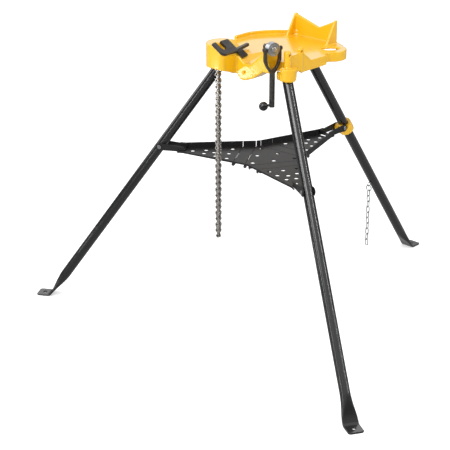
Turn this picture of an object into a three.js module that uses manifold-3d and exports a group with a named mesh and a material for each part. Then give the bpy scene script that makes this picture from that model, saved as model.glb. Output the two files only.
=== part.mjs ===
// Tripod chain vise: a cast head with a V rest and hook jaw on three folding tube legs, with a folding tray.
// Lengths are in millimetres and angles in degrees. +Z is up, the floor is z = 0, and the pipe lies along Y.
// Pieces of a leg are drawn in a radial frame: x runs outwards from the tripod's axis, y sideways, z up.
import * as THREE from 'three';
import { mergeVertices } from 'three/addons/utils/BufferGeometryUtils.js';
import Module from 'manifold-3d';

const wasm = await Module();
wasm.setup();

// Tripod
const pivotHeight = 868;
const frontPivotReach = 150;
const rearPivotReach = 171;
const frontLegTilt = 35.1;
const rearLegTilt = 35.5;
const frontLegTurn = 30.4;
const legFold = 33;

// Leg tubes
const tubeDiameter = 32;
const tubeWall = 2.5;
const tubeHeadroom = 18;
const footWidth = 50;
const footThickness = 5.6;
const footLength = 46;
const footFlare = 96;
const footHole = 13;

// Clearances
const seatGap = 0.3;
const slideGap = 0.5;
const cutOverrun = 5;

// Bolts that carry the legs and the tray
const pivotBolt = 12;
const pivotBoltHead = 19;
const pivotBoltHeadHeight = 3;
const spotFaceRadius = 12;
const spotFaceDepth = 20;
const trayBolt = 8;
const trayBoltHead = 14;
const trayBoltHeadHeight = 3;

// Cast head
const deckRise = 35;
const deckTop = pivotHeight + deckRise;
const deckThickness = 8;
const castWall = 8;
const skirtDepth = 31;
const skirtBottom = deckTop - skirtDepth;
const rimHeight = 14;
const rimWidth = 9;
const rimEndY = 31;
const rimStartAngle = 100;
const rimEndAngle = 162.2;
const deckRadius = 206;
const deckCentreX = 13;
const deckCentreY = 36;
const deckLeft = -184;
const deckRight = 150;
const lobeRadius = 50;
const lobeX = 108;
const lobeY = 160;
const eyeHalfWidth = 20;
const eyeHalfLength = 28;
const notchY = 90;
const notchDepth = 14;
const eyeWindowWidth = 44;
const eyeWindowLength = 112;
const eyeWindowTurn = 43;

// Pipe rest at the back, with two horns
const hornY = 214;
const hornThickness = 10;
const hornLeft = -90;
const hornRight = 82;
const hornRise = 73;
const hornPeak = deckTop + hornRise;
const hornRiseLeft = 71;
const hornPeakLeft = deckTop + hornRiseLeft;
const hornValleyRise = 40;
const hornValley = deckTop + hornValleyRise;
const hornValleyX = 12;
const gussetRun = 44;
const gussetThickness = 8;

// V notch at the front
const noseY = -106;
const noseDepth = 53;
const valleyDrop = 19;
const valleyHeight = deckTop - valleyDrop;
const valleyLeft = -16;
const valleyRight = 8;
const leftSlope = 36.3;
const rightSlope = 41.8;
const rightArmEdge = 86;
const rightArmRise = 27;
const rightArmTop = deckTop + rightArmRise;
const noseDrop = 72;
const noseBottom = deckTop - noseDrop;
const noseUndersideDrops = [[-45, 57], [-33, 71], [-14, noseDrop], [18, 60], [49, 39], [65, 23]];
const noseUnderside = noseUndersideDrops.map(([x, drop]) => [x, deckTop - drop]);
const troughBack = 22;
const troughRise = 8.6;
const noseScrewHole = 7;

// Left arm, which carries the hook jaw
const armFront = -167;
const armEdge = -50;
const armRadius = 50;
const armCentreX = -97;
const armCorner = 15;
const armDropFront = 36;
const armBottomFront = deckTop - armDropFront;
const armDropBack = 54;
const armBottomBack = deckTop - armDropBack;
const armRiseEdge = 9;
const armTopEdge = deckTop + armRiseEdge;
const armRiseMost = 37;
const armTopMost = deckTop + armRiseMost;
const armSlope = 31;
const armBack = -40;

// Hook jaw
const jawThickness = 9;
const jawLength = 46;
const jawBack = -98;
const jawSlotWidth = 22;
const jawSlotDepth = 17;
const jawBarWidth = 11;
const jawBarBack = -44;
const jawLegWidth = 24;
const jawLegLength = 24;
const jawLegThickness = 6;
const jawTeeth = 5;
const toothDepth = 2;
const jawScrew = 6;
const jawScrewHead = 11;
const jawScrewHeadHeight = 5;
const jawScrewLength = 16;

// Right side block beside the crank, with two ribs
const crankPocketRight = 128;
const crankPocketBack = -62;
const forkRoomWidth = 22;
const sideBlockFront = -94;
const sideBlockBack = 2;
const sideBlockRise = 46;
const sideBlockTop = deckTop + sideBlockRise;
const sideBlockWallRise = 32;
const sideBlockWall = deckTop + sideBlockWallRise;
const sideBlockFrontLength = 10;
const sideBlockSlopeStart = -24;
const ribRadius = 10;
const ribCap = 6;
const ribRise = 3;
const ribTop = sideBlockTop + ribRise;
const ribFrontY = -89;
const ribBackY = -33;
const ribHole = 9;
const ribFrontHoleDrop = 14;
const ribFrontHoleHeight = ribTop - ribFrontHoleDrop;
const ribBackHoleDrop = 12;
const ribBackHoleHeight = ribTop - ribBackHoleDrop;

// Leg sockets
const socketReachBeyondPivot = 18;
const socketTopRadius = 28;
const socketBottomRadius = 22;
const socketDrop = 10;
const socketBottom = pivotHeight - socketDrop;
const cheekHalfWidth = 26;
const cheekRun = 38;
const cheekDrop = 10;
const cheekBottom = pivotHeight - cheekDrop;
const socketGap = 1;

// Tension screw, nut and crank
const screwDiameter = 18;
const screwRise = 51;
const screwHeight = deckTop + screwRise;
const screwTurn = -16;
const screwShiftX = 3.8;
const screwShiftY = -7.6;
const screwY = -103;
const screwInner = 69.5;
const screwOuter = 110;
const screwBossRadius = 13;
const screwLugThickness = 11.8;
const screwLugHalf = 14;
const screwLugRise = 1;
const screwLugTop = screwHeight + screwLugRise;
const screwLugFloorRise = 2;
const screwLugFloor = deckTop + screwLugFloorRise;
const washerThickness = 2.6;
const washerRadius = 20;
const nutRadius = 21;
const nutThickness = 18;
const catchRadius = 10;
const catchThickness = 9;
const catchSlot = 7;
const crankHalfSpan = 29.5;
const crankArmWidth = 8;
const crankArmDepth = 12;
const crankArmDrop = 34;
const crankForkDrop = 66;
const crankLength = 174;
const crankRodDiameter = 15;
const crankPin = 8;
const crankPinHead = 13;
const crankPinHeadHeight = 3;
const knobDiameter = 28;
const knobOffset = 30;
const knobPeg = 8;
const knobPegLength = 20;

// Vise chain
const chainPitch = 20;
const chainX = -91;
const plateHeight = 15;
const plateWaist = 11;
const plateThickness = 2.6;
const chainPin = 6;
const innerPlateAt = 2.2;
const outerPlateAt = 5.2;
const chainPinHalf = 8.5;
const hookPin = 8;
const hookPinHalf = 18;
const hookPinRise = 2;
const hookPinHeight = deckTop + hookPinRise;
const chainRoom = 12;
const chainRunLinks = [6, 6, 6, 6, 5];

// Folding tray
const trayTop = 560;
const sheet = 2;
const trayRim = 18;
const trayLip = 4;
const hingeReach = 62;
const stripLength = 41;
const hingeGap = 0.8;
const hingeDrop = 8;
const hingePin = 6.4;
const hingePinHead = 11;
const hingePinHeadLength = 3;
const hingeEye = 12;
const hingeEyeWidth = 15;
const hingeEyeAt = 60;
const trayBoltReach = 358.6;
const trayBoltRise = 11.2;
const wingTipShort = 60;
const wingShoulderShort = 78;
const wingTaper = 0.31;
const wingTipHalf = 25;
const tubeNotchHalf = 20;
const tubeNotchShort = 78;
const rearTubeNotchShort = 84;
const wingHoleDiameter = 12;
const trayHoleSpacing = 70;

// Brackets between the wings and the legs
const bracketThickness = 2.6;
const bracketHalfWidth = 19.2;
const bracketEye = 26;
const bracketLength = 82;
const bracketTail = 16;
const bracketWebStart = 62;
const bracketWebDrop = 9.4;

// Collar on the rear leg
const collarRadius = 26;
const collarHeight = 34;
const collarDrop = 2;
const collarLugRadius = 11;

// Retaining chain on the rear leg
const wire = 3.2;
const linkLength = 27.4;
const linkWidth = 14;
const linkCount = 10;
const ringRadius = 12;
const eyeHeight = 331;
const eyeRadius = 5.5;
const eyeShank = 9;

const turn = THREE.MathUtils.degToRad;
const roundSides = 20;
const smallSides = 12;
const chainSides = 8;

// Solids

function solid(geometry) {
  const plain = geometry.clone();
  plain.deleteAttribute('normal');
  plain.deleteAttribute('uv');
  const merged = mergeVertices(plain, 1e-4);
  return new wasm.Manifold(new wasm.Mesh({
    numProp: 3,
    vertProperties: new Float32Array(merged.attributes.position.array),
    triVerts: new Uint32Array(merged.index.array),
  }));
}

function geometryOf(shape) {
  const mesh = shape.getMesh();
  const geometry = new THREE.BufferGeometry();
  geometry.setAttribute('position', new THREE.BufferAttribute(new Float32Array(mesh.vertProperties), 3));
  geometry.setIndex(new THREE.BufferAttribute(new Uint32Array(mesh.triVerts), 1));
  const flat = geometry.toNonIndexed();
  flat.computeVertexNormals();
  return flat;
}

function join(...shapes) {
  return shapes.reduce((whole, shape) => whole.add(shape));
}

function cut(shape, ...tools) {
  return tools.reduce((rest, tool) => rest.subtract(tool), shape);
}

function blockGeometry([x0, x1], [y0, y1], [z0, z1]) {
  const box = new THREE.BoxGeometry(x1 - x0, y1 - y0, z1 - z0);
  return box.translate((x0 + x1) / 2, (y0 + y1) / 2, (z0 + z1) / 2);
}

function block(xs, ys, zs) {
  return solid(blockGeometry(xs, ys, zs));
}

function rodZ(x, y, [z0, z1], topRadius, bottomRadius = topRadius, sides = roundSides) {
  const rod = new THREE.CylinderGeometry(topRadius, bottomRadius, z1 - z0, sides);
  return solid(rod.rotateX(turn(90)).translate(x, y, (z0 + z1) / 2));
}

function rodY(x, z, [y0, y1], radius, sides = roundSides) {
  const rod = new THREE.CylinderGeometry(radius, radius, y1 - y0, sides);
  return solid(rod.translate(x, (y0 + y1) / 2, z));
}

function rodX(y, z, [x0, x1], radius, sides = roundSides) {
  const rod = new THREE.CylinderGeometry(radius, radius, x1 - x0, sides);
  return solid(rod.rotateZ(turn(90)).translate((x0 + x1) / 2, y, z));
}

// A plan outline raised from z0 to z1
function raised(shape, [z0, z1], curveSegments = 6) {
  const prism = new THREE.ExtrudeGeometry(shape, { depth: z1 - z0, bevelEnabled: false, curveSegments });
  return solid(prism.translate(0, 0, z0));
}

// A side outline of [x, z] points, or a Shape, carried along y
function sideways(outline, [y0, y1], curveSegments = 5) {
  const shape = Array.isArray(outline) ? new THREE.Shape(outline.map(([x, z]) => new THREE.Vector2(x, z))) : outline;
  const prism = new THREE.ExtrudeGeometry(shape, { depth: y1 - y0, bevelEnabled: false, curveSegments });
  return solid(prism.rotateX(turn(90)).translate(0, y1, 0));
}

// A side outline of [y, z] points, or a Shape, carried along x
function lengthways(outline, [x0, x1], curveSegments = 5) {
  const shape = Array.isArray(outline) ? new THREE.Shape(outline.map(([y, z]) => new THREE.Vector2(y, z))) : outline;
  const prism = new THREE.ExtrudeGeometry(shape, { depth: x1 - x0, bevelEnabled: false, curveSegments });
  return solid(prism.rotateX(turn(90)).rotateZ(turn(90)).translate(x0, 0, 0));
}

function turned(shape, degrees) {
  return moved(shape, new THREE.Matrix4().makeRotationZ(turn(degrees)));
}

function moved(shape, matrix) {
  const geometry = geometryOf(shape);
  return solid(geometry.applyMatrix4(matrix));
}

// Closed skin over rings that all have the same number of points
function loft(rings) {
  const size = rings[0].length;
  const points = rings.flat();
  const faces = [];
  for (let ring = 0; ring + 1 < rings.length; ring += 1) {
    for (let i = 0; i < size; i += 1) {
      const a = ring * size + i;
      const b = ring * size + (i + 1) % size;
      faces.push(a, b, a + size, b, b + size, a + size);
    }
  }
  const last = (rings.length - 1) * size;
  for (let i = 1; i + 1 < size; i += 1) {
    faces.push(0, i + 1, i, last, last + i, last + i + 1);
  }
  const geometry = new THREE.BufferGeometry();
  geometry.setAttribute('position', new THREE.Float32BufferAttribute(points.flatMap((p) => p.toArray()), 3));
  geometry.setIndex(faces);
  return geometry;
}

// Materials
const finishes = {
  yellow: new THREE.MeshStandardMaterial({ color: 0xf2b100, roughness: 0.35, metalness: 0.1 }),
  black: new THREE.MeshStandardMaterial({ color: 0x1c1c1d, roughness: 0.35, metalness: 0.3 }),
  forged: new THREE.MeshStandardMaterial({ color: 0x2a2827, roughness: 0.5, metalness: 0.8 }),
  zinc: new THREE.MeshStandardMaterial({ color: 0xb4b8ba, roughness: 0.35, metalness: 0.9 }),
  chainSteel: new THREE.MeshStandardMaterial({ color: 0x8d8a84, roughness: 0.4, metalness: 0.9 }),
};

const model = new THREE.Group();

function place(parent, name, shape, finish) {
  const mesh = new THREE.Mesh(geometryOf(shape), finishes[finish]);
  mesh.name = name;
  parent.add(mesh);
  return mesh;
}

// The three legs, each in its own radial frame
const legs = [
  { side: 'left', azimuth: 180 + frontLegTurn, reach: frontPivotReach, tilt: frontLegTilt },
  { side: 'right', azimuth: -frontLegTurn, reach: frontPivotReach, tilt: frontLegTilt },
  { side: 'rear', azimuth: 90, reach: rearPivotReach, tilt: rearLegTilt },
];
for (const leg of legs) {
  leg.frame = new THREE.Group();
  leg.frame.rotation.z = turn(leg.azimuth);
  model.add(leg.frame);
  leg.down = new THREE.Vector3(Math.sin(turn(leg.tilt)), 0, -Math.cos(turn(leg.tilt)));
  leg.out = new THREE.Vector3(Math.cos(turn(leg.tilt)), 0, Math.sin(turn(leg.tilt)));
  leg.pivot = new THREE.Vector3(leg.reach, 0, pivotHeight);
}

// A point of a leg: so far down from its pivot, and so far out from the tube's axis
function legPoint(leg, down, out = 0) {
  return leg.pivot.clone().addScaledVector(leg.down, down).addScaledVector(leg.out, out);
}

// The section of a tube, round or pressed flat: straight sides with round ends
function tubeRing(centre, normal, halfWidth, halfHeight) {
  const ring = [];
  const flatness = halfWidth > halfHeight ? Math.cos(Math.PI / roundSides) : 1;
  for (let i = 0; i < roundSides; i += 1) {
    const angle = (2 * Math.PI * (i + 0.5)) / roundSides;
    const side = Math.sign(Math.cos(angle)) * (halfWidth - halfHeight) + halfHeight * Math.cos(angle);
    const rise = (halfHeight * Math.sin(angle)) / flatness;
    ring.push(new THREE.Vector3(0, side, 0).addScaledVector(normal, rise).add(centre));
  }
  return ring;
}

// Along a leg's axis turned upright, for what is bored through it or clamped round it
function alongLeg(leg, shape) {
  const matrix = new THREE.Matrix4().makeRotationY(-turn(leg.tilt));
  return moved(shape, matrix.setPosition(leg.pivot));
}

const trayBoltHeight = trayTop + trayBoltRise;

// Tube leg with its end pressed flat and bent to a foot
function legShape(leg) {
  const radius = tubeDiameter / 2;
  const sole = footThickness / 2;
  const reachFloor = (pivotHeight - sole) / Math.cos(turn(leg.tilt));
  const flareShares = [[1, 1, 1], [0.62, 1.16, 0.72], [0.34, 1.44, 0.36]];
  const rings = [tubeRing(legPoint(leg, -tubeHeadroom), leg.out, radius, radius)];
  for (const [lengthShare, widthShare, heightShare] of flareShares) {
    const centre = legPoint(leg, reachFloor - footFlare * lengthShare);
    rings.push(tubeRing(centre, leg.out, radius * widthShare, radius * heightShare));
  }
  const heel = legPoint(leg, reachFloor);
  const bend = footThickness * 2;
  const halfWay = leg.out.clone().add(new THREE.Vector3(0, 0, 1)).normalize();
  const half = footWidth / 2;
  rings.push(tubeRing(legPoint(leg, reachFloor - bend), leg.out, half, sole));
  rings.push(tubeRing(heel.clone().addScaledVector(halfWay, sole * Math.tan(turn(leg.tilt) / 2)), halfWay, half, sole));
  const flat = new THREE.Vector3(0, 0, 1);
  rings.push(tubeRing(heel.clone().add(new THREE.Vector3(bend, 0, 0)), flat, half, sole));
  rings.push(tubeRing(heel.clone().add(new THREE.Vector3(footLength - bend / 2, 0, 0)), flat, half, sole));
  rings.push(tubeRing(heel.clone().add(new THREE.Vector3(footLength, 0, 0)), flat, half - bend / 2, sole));
  const bore = alongLeg(leg, rodZ(0, 0, [footFlare + bend - reachFloor, tubeHeadroom + cutOverrun], radius - tubeWall));
  const pinHole = rodY(leg.reach, pivotHeight, [-tubeDiameter, tubeDiameter], pivotBolt / 2, smallSides);
  const soleHole = rodZ(heel.x + footLength / 2, 0, [-cutOverrun, footThickness + cutOverrun], footHole / 2,
    footHole / 2, smallSides);
  let shape = cut(solid(loft(rings)), bore, pinHole, soleHole);
  if (leg.side !== 'rear') {
    shape = cut(shape, rodY(trayBoltReach, trayBoltHeight, [-tubeDiameter, tubeDiameter], trayBolt / 2, smallSides));
  }
  return shape;
}

// Bolt along y with a six-sided head at its far side
function boltShape(x, z, radius, [y0, y1], headRadius, headHeight) {
  const shank = rodY(x, z, [y0, y1], radius, smallSides);
  return join(shank, rodY(x, z, [y1, y1 + headHeight], headRadius, 6));
}

function nutShape(x, z, boltRadius, y1, nutRadiusHere, height) {
  const ring = rodY(x, z, [y1 - height, y1], nutRadiusHere, 6);
  return cut(ring, rodY(x, z, [y1 - height - cutOverrun, y1 + cutOverrun], boltRadius, smallSides));
}

// Legs with their pivot bolts and nuts
for (const leg of legs) {
  place(leg.frame, `leg_${leg.side}`, legShape(leg), 'black');
  const shank = pivotBolt / 2 - seatGap;
  const seat = cheekHalfWidth + seatGap;
  place(leg.frame, `pivot_bolt_${leg.side}`, boltShape(leg.reach, pivotHeight, shank,
    [-seat - pivotBoltHeadHeight - slideGap, seat], pivotBoltHead / 2, pivotBoltHeadHeight), 'yellow');
  place(leg.frame, `pivot_nut_${leg.side}`, nutShape(leg.reach, pivotHeight, pivotBolt / 2, -seat,
    pivotBoltHead / 2, pivotBoltHeadHeight), 'yellow');
}

// Folding tray

// A strap eye under a plate: it holds the hinge pin at the given reach, on the plate's side of it
function hingeEyes(pinReach, plateSide, inset) {
  const pinHeight = trayTop - hingeDrop;
  const eyes = [-1, 1].map((side) => {
    const middle = side * (hingeEyeAt - inset);
    const span = [middle - hingeEyeWidth / 2, middle + hingeEyeWidth / 2];
    const xs = [pinReach, pinReach + plateSide * hingeEye / 2].sort((a, b) => a - b);
    const strap = block(xs, span, [pinHeight, trayTop - sheet / 2]);
    return join(rodY(pinReach, pinHeight, span, hingeEye / 2, smallSides), strap);
  });
  return join(...eyes);
}

function pinBores(...reaches) {
  const pinHeight = trayTop - hingeDrop;
  return reaches.map((reach) => rodY(reach, pinHeight, [-trayHalfWidth(0), trayHalfWidth(0)],
    hingePin / 2 + seatGap, smallSides));
}

const stripReach = hingeReach + stripLength;
const wingTip = trayBoltReach - wingTipShort;
const wingShoulder = trayBoltReach - wingShoulderShort;

// The tray narrows evenly from its centre to the wings' shoulders
function trayHalfWidth(reach) {
  return wingTipHalf + Math.max(0, wingShoulder - reach) * wingTaper;
}

function trayOutline(from, to, inset) {
  const reaches = to > wingShoulder ? [from, wingShoulder, to] : [from, to];
  const near = reaches.map((reach) => new THREE.Vector2(reach, inset - trayHalfWidth(reach)));
  const far = reaches.map((reach) => new THREE.Vector2(reach, trayHalfWidth(reach) - inset));
  return new THREE.Shape([...near, ...far.reverse()]);
}

// Which side of a leg's strip and wing faces the front, where the rim is only a lip
const lipSides = { left: 1, right: -1, rear: 0 };

// A pan between two reaches, with a rim on its sides
function panShape(leg, from, to) {
  const pan = raised(trayOutline(from, to, 0), [trayTop - sheet, trayTop + trayRim]);
  const hollow = raised(trayOutline(from - cutOverrun, to + cutOverrun, sheet), [trayTop, trayTop + 2 * trayRim]);
  const side = lipSides[leg.side];
  if (side === 0) {
    return cut(pan, hollow);
  }
  const ys = [0, side * trayHalfWidth(0)].sort((a, b) => a - b);
  return cut(pan, hollow, block([0, trayBoltReach], ys, [trayTop + trayLip, trayTop + 2 * trayRim]));
}

function stripShape(leg) {
  const pan = panShape(leg, hingeReach + hingeGap, stripReach - hingeGap);
  const eyes = join(hingeEyes(hingeReach, 1, 0), hingeEyes(stripReach, -1, 0));
  return cut(join(pan, eyes), ...pinBores(hingeReach, stripReach));
}

// Rows of holes across a wing, from its hinge to its shoulder, as shares of its length and half width
const wingHoleShares = [[0.165, 0], [0.15, 0.63], [0.15, -0.63], [0.44, 0], [0.38, 0.54], [0.38, -0.54],
  [0.61, 0.34], [0.61, -0.34], [0.84, 0]];

function wingShape(leg) {
  const start = stripReach + hingeGap;
  const holes = wingHoleShares.map(([along, across]) => {
    const reach = start + (wingShoulder - start) * along;
    return rodZ(reach, trayHalfWidth(reach) * across, [trayTop - sheet - cutOverrun, trayTop + cutOverrun],
      wingHoleDiameter / 2, wingHoleDiameter / 2, 10);
  });
  const notchShort = leg.side === 'rear' ? rearTubeNotchShort : tubeNotchShort;
  const notch = block([trayBoltReach - notchShort, trayBoltReach], [-tubeNotchHalf, tubeNotchHalf],
    [trayTop - sheet - cutOverrun, trayTop + cutOverrun]);
  const eyes = hingeEyes(stripReach, 1, hingeEyeWidth + slideGap);
  return cut(join(panShape(leg, start, wingTip), eyes), ...holes, notch, ...pinBores(stripReach));
}

// Centre plate: a hinge edge across each leg's direction, and a short upturned rim between each two
function trayCentreShape() {
  const edge = hingeReach - hingeGap;
  const half = trayHalfWidth(hingeReach);
  const corners = [];
  for (const azimuth of [-frontLegTurn, 90, 180 + frontLegTurn]) {
    for (const side of [-half, half]) {
      corners.push(new THREE.Vector2(edge, side).rotateAround(new THREE.Vector2(), turn(azimuth)));
    }
  }
  let plate = raised(new THREE.Shape(corners), [trayTop - sheet, trayTop]);
  const frontIndex = corners.length - 1;
  for (const index of [1, 3, frontIndex]) {
    const from = corners[index];
    const to = corners[(index + 1) % corners.length];
    const length = from.distanceTo(to);
    const height = index === frontIndex ? trayLip : trayRim;
    const rim = block([0, length], [0, sheet], [trayTop - sheet, trayTop + height]);
    const matrix = new THREE.Matrix4().makeRotationZ(Math.atan2(to.y - from.y, to.x - from.x));
    plate = join(plate, moved(rim, matrix.setPosition(from.x, from.y, 0)));
  }
  const row = trayHoleSpacing * Math.sin(turn(60));
  const holes = [];
  for (let line = 0; line < 3; line += 1) {
    for (let i = 0; i <= line; i += 1) {
      holes.push(rodZ((i - line / 2) * trayHoleSpacing, (line - 4 / 3) * row,
        [trayTop - sheet - cutOverrun, trayTop + cutOverrun], wingHoleDiameter / 2, wingHoleDiameter / 2, 10));
    }
  }
  const hinges = legs.map((leg) => turned(hingeEyes(hingeReach, -1, hingeEyeWidth + slideGap), leg.azimuth));
  const bores = legs.map((leg) => turned(pinBores(hingeReach)[0], leg.azimuth));
  return cut(join(plate, ...hinges), ...holes, ...bores);
}

function hingePinShape(reach) {
  const height = trayTop - hingeDrop;
  const half = trayHalfWidth(reach) - 2 * hingePinHeadLength;
  const rod = rodY(reach, height, [-half, half], hingePin / 2, smallSides);
  const heads = [-1, 1].map((side) => {
    const ys = [side * half, side * (half + hingePinHeadLength)].sort((a, b) => a - b);
    return rodY(reach, height, ys, hingePinHead / 2, smallSides);
  });
  return join(rod, ...heads);
}

// Bracket between a wing and its leg: two arms beside the tube and a cross web above the wing's tip
function bracketShape() {
  const inner = bracketHalfWidth - bracketThickness;
  const end = trayBoltReach - bracketLength;
  const outline = new THREE.Shape();
  const floor = trayTop + slideGap;
  const floorAngle = Math.acos((trayBoltHeight - floor) / (bracketEye / 2));
  outline.absarc(trayBoltReach, trayBoltHeight, bracketEye / 2, turn(-90) - floorAngle, turn(90), false);
  outline.lineTo(end, floor + bracketTail);
  outline.lineTo(end, floor);
  const arms = [[-bracketHalfWidth, -inner], [inner, bracketHalfWidth]].map((ys) => sideways(outline, ys));
  const webFloor = trayBoltHeight - bracketWebDrop;
  const web = block([end, trayBoltReach - bracketWebStart], [-inner - sheet / 2, inner + sheet / 2],
    [webFloor, webFloor + bracketThickness]);
  const bore = rodY(trayBoltReach, trayBoltHeight, [-tubeDiameter, tubeDiameter], trayBolt / 2, smallSides);
  return cut(join(...arms, web), bore);
}

for (const leg of legs) {
  place(leg.frame, `tray_strip_${leg.side}`, stripShape(leg), 'black');
  place(leg.frame, `tray_wing_${leg.side}`, wingShape(leg), 'black');
  place(leg.frame, `hinge_pin_inner_${leg.side}`, hingePinShape(hingeReach), 'forged');
  place(leg.frame, `hinge_pin_outer_${leg.side}`, hingePinShape(stripReach), 'forged');
  place(leg.frame, `tray_bracket_${leg.side}`, bracketShape(), 'black');
  const shank = trayBolt / 2 - seatGap;
  const seat = bracketHalfWidth + seatGap;
  const rivet = boltShape(trayBoltReach, trayBoltHeight, shank, [-seat, seat], trayBoltHead / 2, trayBoltHeadHeight);
  const tail = rodY(trayBoltReach, trayBoltHeight, [-seat - trayBoltHeadHeight, -seat], trayBoltHead / 2, 6);
  place(leg.frame, `tray_bolt_${leg.side}`, join(rivet, tail), 'zinc');
}
place(model, 'tray_centre', trayCentreShape(), 'black');

// Cast collar round the rear leg, with a lug for the tray bolt
function collarShape(leg) {
  const bolt = new THREE.Vector3(trayBoltReach, 0, trayBoltHeight).sub(leg.pivot);
  const boltDown = bolt.dot(leg.down);
  const boltOut = bolt.dot(leg.out);
  const top = -(boltDown + collarDrop);
  const ring = rodZ(0, 0, [top - collarHeight, top], collarRadius);
  const lugHalf = bracketHalfWidth - bracketThickness - slideGap;
  const web = block([boltOut, 0], [-lugHalf, lugHalf], [top - collarHeight / 2, -boltDown]);
  const lug = rodY(boltOut, -boltDown, [-lugHalf, lugHalf], collarLugRadius, 14);
  const tubeBore = rodZ(0, 0, [top - collarHeight - cutOverrun, -boltDown + tubeDiameter],
    tubeDiameter / 2 + seatGap);
  const boltBore = rodY(boltOut, -boltDown, [-tubeDiameter, tubeDiameter], trayBolt / 2, smallSides);
  const eyeRooms = [[-2 * collarRadius, -lugHalf], [lugHalf, 2 * collarRadius]].map((ys) => rodY(boltOut, -boltDown,
    ys, bracketEye / 2 + slideGap));
  return alongLeg(leg, cut(join(ring, web, lug), tubeBore, boltBore, ...eyeRooms));
}

const rearLeg = legs[2];
place(rearLeg.frame, 'rear_collar', collarShape(rearLeg), 'yellow');

// Cast head

function deckOutline(inset) {
  const outline = new THREE.Shape();
  const big = deckRadius - inset;
  outline.moveTo(valleyLeft, noseY + inset);
  outline.lineTo(rightArmEdge - inset, noseY + inset);
  outline.lineTo(rightArmEdge - inset, crankPocketBack + inset);
  outline.lineTo(crankPocketRight + inset, crankPocketBack + inset);
  outline.lineTo(crankPocketRight + inset, sideBlockFront + inset);
  outline.lineTo(deckRight - inset, sideBlockFront + inset);
  outline.lineTo(deckRight - inset, notchY - inset);
  outline.lineTo(deckRight - notchDepth - inset, notchY + notchDepth / 2 - inset);
  outline.absarc(lobeX, lobeY, lobeRadius - inset, turn(-58), turn(76), false);
  outline.absarc(deckCentreX, deckCentreY, big, turn(62), turn(rimEndAngle), false);
  outline.lineTo(deckLeft + inset, armBack);
  outline.lineTo(armEdge - armRadius, armBack + inset - armRadius / 2);
  outline.lineTo(armEdge - inset, noseY + inset);
  return outline;
}

// The arc of the rim at the back and left, above the deck
function rimShape() {
  const ring = new THREE.Shape();
  ring.absarc(deckCentreX, deckCentreY, deckRadius, turn(rimStartAngle), turn(rimEndAngle), false);
  ring.lineTo(deckLeft, rimEndY);
  ring.lineTo(deckLeft + rimWidth, rimEndY);
  ring.absarc(deckCentreX, deckCentreY, deckRadius - rimWidth, turn(rimEndAngle), turn(rimStartAngle), true);
  return raised(ring, [deckTop - deckThickness / 2, deckTop + rimHeight], 14);
}

function hornShape() {
  const floor = deckTop - deckThickness / 2;
  const back = hornY + hornThickness;
  const plate = sideways([[hornLeft, floor], [hornRight, floor], [hornRight, hornPeak],
    [hornValleyX, hornValley], [hornLeft, hornPeakLeft]], [hornY, back]);
  const gusset = (peak, xs) => lengthways([[hornY - gussetRun, floor], [back, floor], [back, peak], [hornY, peak]], xs);
  return join(plate, gusset(hornPeakLeft, [hornLeft, hornLeft + gussetThickness]),
    gusset(hornPeak, [hornRight - gussetThickness, hornRight]));
}

// Left arm: a rounded block whose top slopes up and outwards under the hook jaw
function leftArmShape() {
  const plan = new THREE.Shape();
  plan.moveTo(armEdge, armFront + armCorner);
  plan.lineTo(armEdge, armFront + 2 * armRadius);
  plan.absarc(armCentreX, armFront + armRadius, armRadius, turn(90), turn(270), false);
  plan.lineTo(armEdge - armCorner, armFront);
  plan.absarc(armEdge - armCorner, armFront + armCorner, armCorner, turn(270), turn(360), false);
  const body = raised(plan, [armBottomBack, armTopMost], 12);
  const ridge = block([armEdge - 2 * jawBarWidth, armEdge], [armFront + armRadius, jawBarBack],
    [armBottomBack, armTopEdge]);
  const run = 4 * armRadius;
  const rise = run * Math.tan(turn(armSlope));
  const above = sideways([[armEdge + cutOverrun, armTopEdge - cutOverrun * Math.tan(turn(armSlope))],
    [armEdge + cutOverrun, armTopEdge + rise], [armEdge - run, armTopEdge + rise]],
    [armFront - cutOverrun, armFront + 3 * armRadius]);
  const steps = (armBottomFront - armBottomBack) / (noseY - armFront);
  const below = lengthways([[armFront - cutOverrun, armBottomBack - cutOverrun], [noseY, armBottomBack - cutOverrun],
    [noseY, armBottomBack], [armFront - cutOverrun, armBottomFront + cutOverrun * steps]],
    [armEdge - run, armEdge + cutOverrun]);
  const bed = block([armEdge - jawBarWidth - seatGap, armEdge + cutOverrun],
    [jawBack - jawBarWidth - seatGap - jawThickness * Math.tan(turn(troughRise)), armFront + 3 * armRadius],
    [armTopEdge, armTopEdge + rise]);
  return join(cut(body, above, below, bed), ridge);
}

// Block that carries the V notch, and the trough that runs back from it into the deck
function viseBlockShape() {
  const left = armEdge - cutOverrun;
  const nose = sideways([[left, armBottomBack], ...noseUnderside, [rightArmEdge, skirtBottom + castWall],
    [rightArmEdge, rightArmTop], [valleyRight, rightArmTop], [valleyRight, armTopEdge - castWall],
    [left, armTopEdge - castWall]], [noseY, noseY + noseDepth]);
  const trough = block([armEdge, rightArmEdge - castWall], [noseY + noseDepth / 2, troughBack], [skirtBottom, deckTop]);
  return join(nose, trough);
}

// The V and the trough behind it rise together towards the back, about the nose's front edge
function troughTilt() {
  const tilt = new THREE.Matrix4().makeTranslation(0, noseY, valleyHeight);
  tilt.multiply(new THREE.Matrix4().makeRotationX(turn(troughRise)));
  return tilt.multiply(new THREE.Matrix4().makeTranslation(0, -noseY, -valleyHeight));
}

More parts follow.
